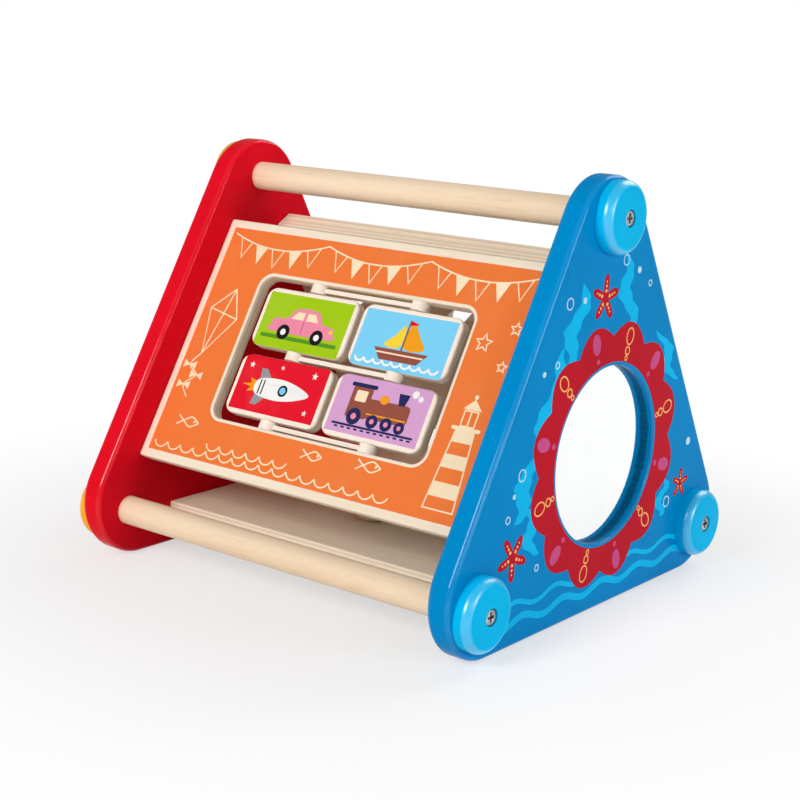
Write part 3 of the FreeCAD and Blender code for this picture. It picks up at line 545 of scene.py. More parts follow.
@dataclass(frozen=True)
class Pen:
    """One ink and one width of line, for drawing on a print.

    Attributes:
        sheet: The print.
        ink: Colour of all that is drawn.
        width: Width of the lines, in millimetres.
    """

    sheet: Print
    ink: Ink = Ink.CREAM
    width: float = 0.75

    def draw(self, path: Outline) -> None:
        """Draw an open line."""
        self.sheet.line(path, self.width, self.ink)

    def loop(self, outline: Outline) -> None:
        """Draw a closed line."""
        self.sheet.line(outline, self.width, self.ink, closed=True)

    def fill(self, outline: Outline) -> None:
        """Fill a closed outline, over the lines."""
        self.sheet.fill(outline, self.ink, 1)


# ------------------------------------------------------------------------------------ node building


class Term:
    """A value that varies over the surface: a number with the usual arithmetic, a vector or a colour."""

    def __init__(self, graph: "Graph", socket: bpy.types.NodeSocket) -> None:
        """Wrap a node's output socket."""
        self.graph = graph
        self.socket = socket

    def __add__(self, other: "Term | float") -> "Term":
        """Sum of two numbers."""
        return self.graph.math("ADD", self, other)

    def __sub__(self, other: "Term | float") -> "Term":
        """Difference of two numbers."""
        return self.graph.math("SUBTRACT", self, other)

    def __mul__(self, other: "Term | float") -> "Term":
        """Product of two numbers."""
        return self.graph.math("MULTIPLY", self, other)

    def __truediv__(self, other: "Term | float") -> "Term":
        """Quotient of two numbers."""
        return self.graph.math("DIVIDE", self, other)

    def absolute(self) -> "Term":
        """The number without its sign."""
        return self.graph.math("ABSOLUTE", self)

    def root(self) -> "Term":
        """Square root of the number."""
        return self.graph.math("SQRT", self)

    def at_least(self, other: "Term | float") -> "Term":
        """The larger of two numbers."""
        return self.graph.math("MAXIMUM", self, other)

    def at_most(self, other: "Term | float") -> "Term":
        """The smaller of two numbers."""
        return self.graph.math("MINIMUM", self, other)

    def repeat(self, period: float) -> "Term":
        """Where the number stands within a period, from -0.5 to 0.5."""
        return self.graph.math("FRACT", self * (1 / period)) - 0.5

    def step(self, low: float, high: float) -> "Term":
        """Smooth step between two bounds.

        Args:
            low: Number up to which the step is 0.
            high: Number from which it is 1; below low, the step falls from 1 to 0 instead.

        Returns:
            The step.
        """
        rising = low < high
        return self.graph.value("ShaderNodeMapRange", "Result", {
            "Value": self, "From Min": min(low, high), "From Max": max(low, high),
            "To Min": 0.0 if rising else 1.0, "To Max": 1.0 if rising else 0.0,
        }, interpolation_type="SMOOTHSTEP")


Inputs = dict[str | int, object]
Terms = dict[str, Term]


class Graph:
    """Builds the nodes of one material, shared effect or surround."""

    def __init__(self, tree: bpy.types.NodeTree) -> None:
        """Work on a node tree."""
        self.tree = tree

    def add(self, kind: str, inputs: Inputs | None = None, **settings: object) -> bpy.types.Node:
        """Add a node.

        Args:
            kind: Blender's name for the kind of node.
            inputs: What feeds its inputs, by name or number.
            **settings: Its settings.

        Returns:
            The node.
        """
        node = self.tree.nodes.new(kind)
        for name, setting in settings.items():
            setattr(node, name, setting)
        self.feed(node, inputs or {})
        return node

    def value(self, kind: str, output: str | int, inputs: Inputs | None = None, **settings: object) -> Term:
        """Add a node for one of its outputs.

        Args:
            kind: Blender's name for the kind of node.
            output: Name or number of the output.
            inputs: What feeds its inputs, by name or number.
            **settings: Its settings.

        Returns:
            The output.
        """
        return Term(self, self.add(kind, inputs, **settings).outputs[output])

    def feed(self, node: bpy.types.Node, inputs: Inputs) -> None:
        """Link a node's inputs to their sources, or set their values.

        Args:
            node: The node.
            inputs: A Term, an Ink or a plain value for each input, by name or number.
        """
        for name, source in inputs.items():
            if isinstance(source, Term):
                self.tree.links.new(source.socket, node.inputs[name])
            else:
                node.inputs[name].default_value = source.linear() if isinstance(source, Ink) else source

    def math(self, operation: str, *numbers: Term | float) -> Term:
        """One operation on one or two numbers."""
        return self.value("ShaderNodeMath", 0, dict(enumerate(numbers)), operation=operation)

    def dot(self, vector: Term, axis: Term | Sequence[float]) -> Term:
        """How far a vector reaches along an axis."""
        return self.value("ShaderNodeVectorMath", "Value", {0: vector, 1: axis}, operation="DOT_PRODUCT")

    def reach(self, place: Term, axis: Vector, origin: Vector) -> Term:
        """How far a place lies from an origin along an axis, in metres."""
        return self.dot(place, axis) - origin.dot(axis)

    def stretch(self, vector: Term, scale: Triple) -> Term:
        """A vector with each of its parts scaled."""
        return self.value("ShaderNodeVectorMath", 0, {0: vector, 1: scale}, operation="MULTIPLY")

    def along_grain(self, place: Term, along: Triple) -> Term:
        """Turn a place so that its X direction runs along the grain.

        Args:
            place: Place on the piece.
            along: Direction of the grain.

        Returns:
            The turned place.
        """
        upright = 0.9
        first = Vector(along)
        second = first.cross(Z_AXIS if abs(first.z) < upright else Y_AXIS).normalized()
        parts = (self.dot(place, axis) for axis in (first, second, first.cross(second)))
        return self.value("ShaderNodeCombineXYZ", 0, dict(enumerate(parts)))

    def own_normal(self) -> Term:
        """The surface's normal in the piece's own frame, which turns with the piece."""
        return self.value("ShaderNodeTexCoord", "Normal")

    def bump(self, height: Term, distance: float) -> Term:
        """The normal that a height gives, in units of the distance."""
        inputs = {"Strength": 1.0, "Distance": distance, "Height": height}
        return self.value("ShaderNodeBump", "Normal", inputs)

    def noise(self, vector: Term, scale: float, detail: float = 3.0, roughness: float = 0.55) -> Term:
        """Cloudy noise.

        Args:
            vector: Where it is read.
            scale: How many features there are to a metre.
            detail: How many finer noises are added.
            roughness: How strong they are.

        Returns:
            The noise, about 0.5.
        """
        return self.value("ShaderNodeTexNoise", "Fac", {
            "Vector": vector, "Scale": scale, "Detail": detail, "Roughness": roughness,
        })

    def mix(self, share: Term, first: Term | Ink, second: Term | Ink) -> Term:
        """Mix two colours.

        Args:
            share: Share of the second colour.
            first: First colour.
            second: Second colour.

        Returns:
            The mixed colour.
        """
        node = self.add("ShaderNodeMix", {0: share}, data_type="RGBA")
        colours = [number for number, socket in enumerate(node.inputs) if socket.type == "RGBA"]
        self.feed(node, dict(zip(colours, (first, second))))
        return Term(self, next(socket for socket in node.outputs if socket.type == "RGBA"))

    def blend(self, share: Term, first: Term, second: Term) -> Term:
        """Mix two shaders by the share of the second."""
        return self.value("ShaderNodeMixShader", 0, {0: share, 1: first, 2: second})

    def effect(self, effect: "Effect", **values: object) -> Terms:
        """Place a shared effect.

        Args:
            effect: The effect.
            **values: Its inputs, with underscores for spaces.

        Returns:
            Its outputs by name.
        """
        inputs = {name.replace("_", " ").capitalize(): source for name, source in values.items()}
        node = self.add("ShaderNodeGroup", inputs, node_tree=effect.tree())
        return {socket.name: Term(self, socket) for socket in node.outputs}

    def scuff(self, place: Term) -> Term:
        """The handling marks at a place."""
        return self.effect(HANDLING, place=place)["Scuff"]


# ------------------------------------------------------------------------------------ shared effects


@dataclass(frozen=True)
class Port:
    """A named socket of a shared effect.

    Attributes:
        name: Name of the socket.
        kind: Kind of value that it takes.
        default: Its value where nothing feeds it.
    """

    name: str
    kind: str = "Float"
    default: object = None


class Effect(ABC):
    """A node group, built once and placed in each material that uses it.

    Attributes:
        name: Name of the group.
        takes: Its inputs.
        gives: Its outputs.
    """

    name = ""
    takes: tuple[Port, ...] = ()
    gives: tuple[Port, ...] = ()

    def tree(self) -> bpy.types.NodeTree:
        """Make the effect's node group when it is first asked for.

        Returns:
            The node group.
        """
        tree = bpy.data.node_groups.get(self.name)
        if tree:
            return tree
        tree = bpy.data.node_groups.new(self.name, "ShaderNodeTree")
        for ports, way in ((self.takes, "INPUT"), (self.gives, "OUTPUT")):
            for port in ports:
                kind = f"NodeSocket{port.kind}"
                socket = tree.interface.new_socket(port.name, in_out=way, socket_type=kind)
                if port.default is not None:
                    socket.default_value = port.default
        graph = Graph(tree)
        start = graph.add("NodeGroupInput")
        given = {socket.name: Term(graph, socket) for socket in start.outputs if socket.name}
        graph.feed(graph.add("NodeGroupOutput"), self.wire(graph, given))
        return tree

    @abstractmethod
    def wire(self, graph: Graph, given: Terms) -> Terms:
        """Build the nodes between the inputs and the outputs.

        Args:
            graph: Graph of the group.
            given: The group's inputs by name.

        Returns:
            What feeds each output, by name.
        """


class WoodGrain(Effect):
    """Pale wood: soft bands along the grain, short flecks and fine pores."""

    name = "wood grain"
    takes = (Port("Place", "Vector"), Port("Pale", "Color"), Port("Grain", "Color"), Port("Fleck", "Color"))
    gives = (Port("Colour", "Color"), Port("Roughness"), Port("Height"))

    def wire(self, graph: Graph, given: Terms) -> Terms:
        """Build the grain along the X direction of Place.

        Args:
            graph: Graph of the group.
            given: The group's inputs by name.

        Returns:
            What feeds each output, by name.
        """
        fleck_share, pore_share = 0.22, 0.12
        along = graph.stretch(given["Place"], (0.07, 1.0, 1.0))
        clouds = graph.noise(along, 70.0, 4.0, 0.6)
        ring = graph.value("ShaderNodeTexWave", "Fac", {
            "Vector": along, "Scale": 26.0, "Distortion": 7.0, "Detail": 3.0, "Detail Scale": 1.4,
        }, wave_type="BANDS", bands_direction="DIAGONAL")
        pores = graph.noise(along, 1500.0, 2.0, 0.5)
        flecks = graph.noise(along, 620.0, 2.0, 0.45).step(0.60, 0.70)
        tone = (clouds.step(0.3, 0.75) * 0.55 + ring * 0.28).at_most(1.0)
        colour = graph.mix(tone, given["Pale"], given["Grain"])
        colour = graph.mix(flecks * fleck_share, colour, given["Fleck"])
        colour = graph.mix(pores.step(0.62, 0.78) * pore_share, colour, given["Fleck"])
        return {
            "Colour": colour,
            "Roughness": clouds * 0.10 + flecks * 0.08 + 0.36,
            "Height": ring * 0.25 + pores * 0.5 - flecks * 0.35,
        }


class Lacquer(Effect):
    """Coloured lacquer on wood: slight unevenness, orange peel and the grain showing faintly through."""

    name = "lacquer"
    takes = (Port("Place", "Vector"), Port("Paint", "Color"))
    gives = (Port("Colour", "Color"), Port("Roughness"), Port("Height"))

    def wire(self, graph: Graph, given: Terms) -> Terms:
        """Build the lacquer, with the grain along the X direction of Place.

        Args:
            graph: Graph of the group.
            given: The group's inputs by name.

        Returns:
            What feeds each output, by name.
        """
        grain = graph.noise(graph.stretch(given["Place"], (0.08, 1.0, 1.0)), 520.0)
        clouds = graph.noise(given["Place"], 22.0)
        peel = graph.noise(given["Place"], 420.0, 1.0)
        deeper = graph.mix(clouds.step(0.3, 0.8) * 0.10, given["Paint"], Ink.SHADOW)
        return {
            "Colour": graph.mix(grain.step(0.55, 0.8) * 0.08, deeper, Ink.SHADOW),
            "Roughness": clouds * 0.06 + grain * 0.05 + 0.14,
            "Height": peel * 0.5 + grain * 0.5,
        }


class Handling(Effect):
    """Faint scuffs and finger marks, which change the gloss and barely the colour."""

    name = "handling"
    takes = (Port("Place", "Vector"),)
    gives = (Port("Scuff"),)

    def wire(self, graph: Graph, given: Terms) -> Terms:
        """Build short scratches inside soft patches.

        Args:
            graph: Graph of the group.
            given: The group's inputs by name.

        Returns:
            What feeds each output, by name.
        """
        patches = graph.noise(given["Place"], 30.0, 2.0).step(0.52, 0.70)
        lengthwise = graph.stretch(given["Place"], (1.0, 0.12, 0.35))
        scratches = graph.noise(lengthwise, 1100.0, 2.0).step(0.60, 0.72)
        return {"Scuff": patches * 0.35 + scratches * patches}


class EdgeWear(Effect):
    """How near an edge a point is, broken up where paint has rubbed thin."""

    name = "edge wear"
    takes = (Port("Place", "Vector"), Port("Reach", default=0.001))
    gives = (Port("Wear"),)

    def wire(self, graph: Graph, given: Terms) -> Terms:
        """Compare the normal with one rounded over the reach.

        Args:
            graph: Graph of the group.
            given: The group's inputs by name.

        Returns:
            What feeds each output, by name.
        """
        rounded = graph.value("ShaderNodeBevel", "Normal", {"Radius": given["Reach"]}, samples=4)
        edge = graph.dot(rounded, graph.value("ShaderNodeNewGeometry", "Normal")).step(0.99, 0.85)
        return {"Wear": edge * graph.noise(given["Place"], 260.0).step(0.40, 0.66)}


class PrintedField(Effect):
    """A rectangle with round corners, 1 inside and 0 outside, with a soft edge."""

    name = "printed field"
    takes = tuple(map(Port, ("Across", "Up", "Half width", "Half height", "Corner", "Softness")))
    gives = (Port("Inside"),)

    def wire(self, graph: Graph, given: Terms) -> Terms:
        """Measure the distance from the rounded rectangle's edge, in metres.

        Args:
            graph: Graph of the group.
            given: The group's inputs by name.

        Returns:
            What feeds each output, by name.
        """
        over_u = given["Across"].absolute() - given["Half width"] + given["Corner"]
        over_v = given["Up"].absolute() - given["Half height"] + given["Corner"]
        past_u, past_v = over_u.at_least(0.0), over_v.at_least(0.0)
        beyond = (past_u * past_u + past_v * past_v).root()
        beyond = beyond + over_u.at_least(over_v).at_most(0.0) - given["Corner"]
        return {"Inside": (beyond / given["Softness"]).step(0.5, -0.5)}


WOOD_GRAIN = WoodGrain()
LACQUER = Lacquer()
HANDLING = Handling()
EDGE_WEAR = EdgeWear()
PRINTED_FIELD = PrintedField()


# ------------------------------------------------------------------------------------ finishes


@dataclass(frozen=True)
class Finish(ABC):
    """What a piece's surface is made of."""

    @property
    @abstractmethod
    def title(self) -> str:
        """Name of the material."""

    @abstractmethod
    def wire(self, graph: Graph, place: Term) -> Inputs:
        """Build the nodes that feed the shader.

        Args:
            graph: Graph of the material.
            place: Place on the piece at rest, in metres.

        Returns:
            What feeds each of the shader's inputs, by name; plain numbers are the same all over.
        """

    def material(self) -> bpy.types.Material:
        """Make the material when it is first asked for.

        Returns:
            The material.
        """
        material = bpy.data.materials.get(self.title)
        if material:
            return material
        material = bpy.data.materials.new(self.title)
        material.use_nodes = True
        graph = Graph(material.node_tree)
        place = graph.value("ShaderNodeTexCoord", "Object")
        graph.feed(material.node_tree.nodes["Principled BSDF"], self.wire(graph, place))
        return material

    def dress(self, *nodes: str) -> None:
        """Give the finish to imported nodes.

        Args:
            *nodes: Names of the nodes.
        """
        for node in nodes:
            for slot in frame["nodes"][node].material_slots:
                slot.material = self.material()


@dataclass(frozen=True)
class WoodFinish(Finish):
    """Clear lacquered wood, with its grain along one direction.

    Attributes:
        label: Name of the material.
        along: Direction of the grain.
        pale: Colour between the bands of the grain.
        grain: Colour of the bands.
        fleck: Colour of the short flecks and pores.
        gloss: Strength of its reflections, as the shader's own level.
    """

    label: str
    along: Triple = (1.0, 0.0, 0.0)
    pale: Ink = Ink.BEECH
    grain: Ink = Ink.BEECH_GRAIN
    fleck: Ink = Ink.BEECH_FLECK
    gloss: float = 0.15

    @property
    def title(self) -> str:
        """Name of the material."""
        return self.label

    def colour(self, graph: Graph, place: Term, wood: Term) -> Term:
        """Colour of the surface over the bare wood's; here nothing is over it."""
        return wood

    def wire(self, graph: Graph, place: Term) -> Inputs:
        """Place the grain and the handling marks.

        Args:
            graph: Graph of the material.
            place: Place on the piece at rest, in metres.

        Returns:
            What feeds each of the shader's inputs, by name.
        """
        turned = graph.along_grain(place, self.along)
        grain = graph.effect(WOOD_GRAIN, place=turned, pale=self.pale, grain=self.grain, fleck=self.fleck)
        return {
            "Base Color": self.colour(graph, place, grain["Colour"]),
            "Roughness": grain["Roughness"] + graph.scuff(place) * 0.08,
            "Normal": graph.bump(grain["Height"], 0.00006),
            "Specular IOR Level": self.gloss,
        }


@dataclass(frozen=True)
class PlywoodFinish(WoodFinish):
    """Plywood board: veneer on its faces and the plies' ends along its edges.

    Attributes:
        face: The board's outer face.
        thickness: Thickness of the board, in millimetres.
        plies: Number of veneers.
        softness: Width over which a printed edge fades, in metres.
        wobble: How far a printed edge strays to either side, in metres.
    """

    pale: Ink = Ink.BIRCH
    grain: Ink = Ink.BIRCH_GRAIN
    fleck: Ink = Ink.BIRCH_FLECK
    face: Face | None = None
    thickness: float = 7.0
    plies: int = 5
    softness: float = 0.0002
    wobble: float = 0.00015

    def colour(self, graph: Graph, place: Term, wood: Term) -> Term:
        """Veneer colour on the faces and alternating plies on the edges.

        Args:
            graph: Graph of the material.
            place: Place on the piece at rest, in metres.
            wood: Colour of the bare wood.

        Returns:
            The colour.
        """
        end_grain_shade, glue_shade = 0.55, 0.35
        depth = graph.reach(place, self.face.out, self.face.origin)
        edge = graph.dot(graph.own_normal(), self.face.out).absolute().step(0.75, 0.45)
        ply = self.thickness * MM / self.plies
        end_grain = depth.repeat(2 * ply).absolute().step(0.22, 0.28)
        glue = (depth + ply / 2).repeat(ply).absolute().step(0.07, 0.02)
        return graph.mix((end_grain * end_grain_shade + glue * glue_shade) * edge, wood, Ink.PLY_SHADE)

    def on_face(self, graph: Graph, place: Term, fineness: float) -> tuple[Term, Term]:
        """Measure a place across and up the face, wobbled as a printed edge is.

        Args:
            graph: Graph of the material.
            place: Place on the piece at rest, in metres.
            fineness: How many waves of the wobble there are to a metre.

        Returns:
            The two measures, in metres.
        """
        wobble = graph.noise(place, fineness, 2.0) * (2 * self.wobble) - self.wobble
        across, up = (graph.reach(place, axis, self.face.origin) for axis in (self.face.across, self.face.up))
        return across + wobble, up + wobble

    def field_mask(self, graph: Graph, across: Term, up: Term, half_size: Point, corner: float) -> Term:
        """Where a printed rectangle lies.

        Args:
            graph: Graph of the material.
            across: Place across, in metres.
            up: Place up, in metres.
            half_size: Half of its width and height, in millimetres.
            corner: Radius of its corners, in metres.

        Returns:
            1 inside and 0 outside.
        """
        return graph.effect(
            PRINTED_FIELD, across=across, up=up, corner=corner, softness=self.softness,
            half_width=half_size[0] * MM, half_height=half_size[1] * MM,
        )["Inside"]


@dataclass(frozen=True)
class PrintedBoardFinish(PlywoodFinish):
    """Plywood with a field of ink on its outer face, bare along its edges and round a window.

    Attributes:
        ink: Colour of the field.
        margin: Bare border at the board's edges, in millimetres.
        corner: Corner radius of the field, in metres.
        ink_depth: Depths below the face between which the ink ends, in metres.
        window: Half size of the bare rectangle round the window, in millimetres, or nothing.
        window_corner: Corner radius of that rectangle, in millimetres.
    """

    gloss: float = 0.05
    ink: Ink = Ink.ORANGE
    margin: float = 4.5
    corner: float = 0.0006
    ink_depth: tuple[float, float] = (-0.0008, -0.0005)
    window: Point | None = None
    window_corner: float = 8.5

    def colour(self, graph: Graph, place: Term, wood: Term) -> Term:
        """The board with its printed field.

        Args:
            graph: Graph of the material.
            place: Place on the piece at rest, in metres.
            wood: Colour of the bare wood.

        Returns:
            The colour.
        """
        face = self.face
        board = super().colour(graph, place, wood)
        across, up = self.on_face(graph, place, 500.0)
        half_size = (face.half_width - self.margin, face.half_height - self.margin)
        printed = self.field_mask(graph, across, up, half_size, self.corner)
        printed *= graph.reach(place, face.out, face.origin).step(*self.ink_depth)
        if self.window:
            bare = self.field_mask(graph, across, up, self.window, self.window_corner * MM)
            printed *= bare * -1.0 + 1.0
        return graph.mix(printed * (graph.scuff(place) * -0.06 + 0.97), board, self.ink)


class BackPattern(Enum):
    """Plain patterns on the backs of the tiles."""

    DOTS = "dots"
    STRIPES = "stripes"
    CHECKS = "checks"
    ZIGZAGS = "zigzags"

    def mask(self, u: Term, v: Term) -> Term:
        """Where the pattern's second colour lies.

        Args:
            u: Place across the tile, in metres.
            v: Place up the tile, in metres.

        Returns:
            1 on the pattern's marks and 0 between them.
        """
        if self is BackPattern.DOTS:
            side, rise = u.repeat(0.0075), v.repeat(0.0075)
            return (side * side + rise * rise).step(0.075, 0.06)
        if self is BackPattern.STRIPES:
            return (u + v).repeat(0.0090).absolute().step(0.24, 0.26)
        if self is BackPattern.CHECKS:
            return (u.repeat(0.0120) * v.repeat(0.0120)).step(-0.001, 0.001)
        return (v + u.repeat(0.0100).absolute() * 0.0055).repeat(0.0065).absolute().step(0.24, 0.27)


@dataclass(frozen=True)
class TileFinish(PlywoodFinish):
    """Wooden tile with a field of ink on both sides that runs out over the edge by its neighbour.

    Attributes:
        ink: Colour of the fields.
        accent: Second colour, on the back.
        pattern: Pattern on the back.
        border: Bare border at the three outer edges, in millimetres.
        overrun: How far the field passes the fourth edge, in millimetres.
        corner: Corner radius of the field, in metres.
        neighbour: 1 if the neighbouring tile is above, -1 if it is below.
    """

    pale: Ink = Ink.MAPLE
    grain: Ink = Ink.MAPLE_GRAIN
    fleck: Ink = Ink.MAPLE_FLECK
    gloss: float = 0.05
    ink: Ink = Ink.LIME
    accent: Ink = Ink.WHITE
    pattern: BackPattern = BackPattern.DOTS
    border: float = 2.4
    overrun: float = 2.0
    corner: float = 0.0003
    neighbour: int = 1

    def colour(self, graph: Graph, place: Term, wood: Term) -> Term:
        """The tile with its two printed sides.

        Args:
            graph: Graph of the material.
            place: Place on the piece at rest, in metres.
            wood: Colour of the bare wood.

        Returns:
            The colour.
        """
        face = self.face
        board = super().colour(graph, place, wood)
        across, up = self.on_face(graph, place, 600.0)
        facing = graph.dot(graph.own_normal(), face.out)
        shift = (self.border + self.overrun) / 2
        half_size = (face.half_width - self.border, face.half_height - self.border / 2 + self.overrun / 2)
        inside = self.field_mask(graph, across, up - self.neighbour * shift * MM, half_size, self.corner)
        pattern = self.pattern.mask(across, up) * facing.step(0.1, -0.1)
        printed = inside * facing.absolute().step(0.45, 0.60) * (graph.scuff(place) * -0.05 + 0.995)
        return graph.mix(printed, board, graph.mix(pattern, self.ink, self.accent))


@dataclass(frozen=True)
class PaintFinish(Finish):
    """Coloured lacquer over wood.

    Attributes:
        ink: Colour of the paint.
        along: Direction of the grain below it.
        gloss: Strength of its reflections, as the shader's own level.
        rim_coat: Weight of the clear coat that gathers on the roundings between faces and edges.
        rim_roughness: Roughness of that coat.
        rim_bend: How strongly that coat bends light.
        wear: Distance from an edge at which the paint has thinned, in metres.
    """

    ink: Ink
    along: Triple = (0.0, 0.0, 1.0)
    gloss: float = 0.30
    rim_coat: float = 0.0
    rim_roughness: float = 0.32
    rim_bend: float = 1.9
    wear: float = 0.0009

    @property
    def title(self) -> str:
        """Name of the material."""
        return f"{self.ink.words} lacquer"

    def colour(self, graph: Graph, place: Term, paint: Term) -> Term:
        """Colour of the lacquer, thinner along the edges."""
        wear = graph.effect(EDGE_WEAR, place=place, reach=self.wear)["Wear"]
        return graph.mix(wear * 0.05, paint, Ink.BIRCH)

    def wire(self, graph: Graph, place: Term) -> Inputs:
        """Place the lacquer, its scuffs, its thin edges and the coat on its roundings.

        Args:
            graph: Graph of the material.
            place: Place on the piece at rest, in metres.

        Returns:
            What feeds each of the shader's inputs, by name.
        """
        coat = graph.effect(LACQUER, place=graph.along_grain(place, self.along), paint=self.ink)
        inputs = {
            "Base Color": self.colour(graph, place, coat["Colour"]),
            "Roughness": coat["Roughness"] + graph.scuff(place) * 0.14,
            "Normal": graph.bump(coat["Height"], 0.00005),
            "Specular IOR Level": self.gloss,
        }
        if self.rim_coat:
            facing = graph.dot(graph.own_normal(), X_AXIS).absolute()
            rounding = facing.step(0.98, 0.80) * facing.step(0.02, 0.12)
            inputs["Coat Weight"] = rounding * self.rim_coat
            inputs["Coat Roughness"] = self.rim_roughness
            inputs["Coat IOR"] = self.rim_bend
        return inputs


@dataclass(frozen=True)
class RecessedPaintFinish(PaintFinish):
    """Lacquer on a panel with a round recess, whose wall is darkened near its foot by painted shade.

    Attributes:
        face: The panel's outer face.
        centre: Middle of the recess on that face, in millimetres.
        radius: Radius of the recess, in millimetres.
        painted: Depth down to which the wall keeps its plain lacquer colour, before the painted shade begins,
            in millimetres.
        rim: Width over which the recess begins, in metres.
        fade: Depth over which the painted shade grows to full strength, in metres.
        unevenness: How far the edge of the painted shade strays to either side, in metres.
    """

    face: Face | None = None
    centre: Point = (0.0, 0.0)
    radius: float = 43.0
    painted: float = 2.4
    rim: float = 0.0004
    fade: float = 0.0012
    unevenness: float = 0.0011

    def colour(self, graph: Graph, place: Term, paint: Term) -> Term:
        """Colour of the lacquer, with painted shade on the part of the recess's wall nearest the mirror.

        Args:
            graph: Graph of the material.
            place: Place on the piece at rest, in metres.
            paint: Colour of the lacquer.

        Returns:
            The colour.
        """
        plain = super().colour(graph, place, paint)
        face = self.face
        middle = face.place(*self.centre, 0.0)
        across, up, depth = (graph.reach(place, axis, middle) for axis in (face.across, face.up, face.out))
        radius, painted = self.radius * MM, self.painted * MM
        inside = (across * across + up * up).root().step(radius + self.rim, radius)
        uneven = graph.noise(place, 420.0) * (2 * self.unevenness) - self.unevenness
        # Painted shade: the recess's wall darkens towards the mirror, where less light reaches it.
        shade_mask = (depth + uneven).step(-painted, -painted - self.fade)
        return graph.mix(shade_mask * inside * 0.85, plain, Ink.DEEP_SEA)


@dataclass(frozen=True)
class InkFinish(Finish):
    """Printing ink, slightly uneven and satin.

    Attributes:
        ink: Its colour.
        gloss: Strength of its reflections, as the shader's own level.
    """

    ink: Ink
    gloss: float = 0.03

    @property
    def title(self) -> str:
        """Name of the material."""
        return f"{self.ink.words} ink"

    def wire(self, graph: Graph, place: Term) -> Inputs:
        """Place ink that thins a little over the wood's pores.

        Args:
            graph: Graph of the material.
            place: Place on the piece at rest, in metres.

        Returns:
            What feeds each of the shader's inputs, by name.
        """
        coat = graph.effect(LACQUER, place=place, paint=self.ink)
        speck = graph.noise(place, 1400.0, 2.0).step(0.60, 0.76)
        return {
            "Base Color": graph.mix(speck * 0.03, coat["Colour"], Ink.BIRCH),
            "Roughness": coat["Roughness"] + speck * 0.10 + 0.16,
            "Normal": graph.bump(coat["Height"], 0.00003),
            "Specular IOR Level": self.gloss,
        }


@dataclass(frozen=True)
class MetalFinish(Finish):
    """Bright metal with fine turning or drawing marks.

    Attributes:
        label: Name of the material.
        roughness: About how rough it is.
    """

    label: str
    roughness: float = 0.28

    @property
    def title(self) -> str:
        """Name of the material."""
        return self.label

    def wire(self, graph: Graph, place: Term) -> Inputs:
        """Place the metal, duller in patches.

        Args:
            graph: Graph of the material.
            place: Place on the piece at rest, in metres.

        Returns:
            What feeds each of the shader's inputs, by name.
        """
        patches = graph.noise(place, 300.0, 2.0)
        return {
            "Base Color": graph.mix(patches.step(0.35, 0.7), Ink.STEEL, Ink.STEEL_SHADE),
            "Roughness": patches * 0.16 + self.roughness - 0.05,
            "Normal": graph.bump(graph.noise(place, 1600.0, 2.0), 0.00002),
            "Metallic": 1.0,
        }


@dataclass(frozen=True)
class MirrorFinish(Finish):
    """Silvered sheet with a faint haze of wiping marks."""

    @property
    def title(self) -> str:
        """Name of the material."""
        return "silvered sheet"

    def wire(self, graph: Graph, place: Term) -> Inputs:
        """Place the silver and its haze.

        Args:
            graph: Graph of the material.
            place: Place on the piece at rest, in metres.

        Returns:
            What feeds each of the shader's inputs, by name.
        """
        haze = graph.noise(place, 45.0).step(0.45, 0.80)
        return {
            "Base Color": graph.mix(haze * 0.04, Ink.SILVER, Ink.GREY),
            "Roughness": haze * 0.03 + graph.scuff(place) * 0.02 + 0.02,
            "Metallic": 1.0,
        }


# ------------------------------------------------------------------------------------ sub-assemblies


class SubAssembly(ABC):
    """Pieces that go together: what is added to them and how they are finished."""

    def build(self) -> list[bpy.types.Object]:
        """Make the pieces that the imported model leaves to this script; here there are none."""
        return []

    @abstractmethod
    def dress(self) -> None:
        """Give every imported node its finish."""


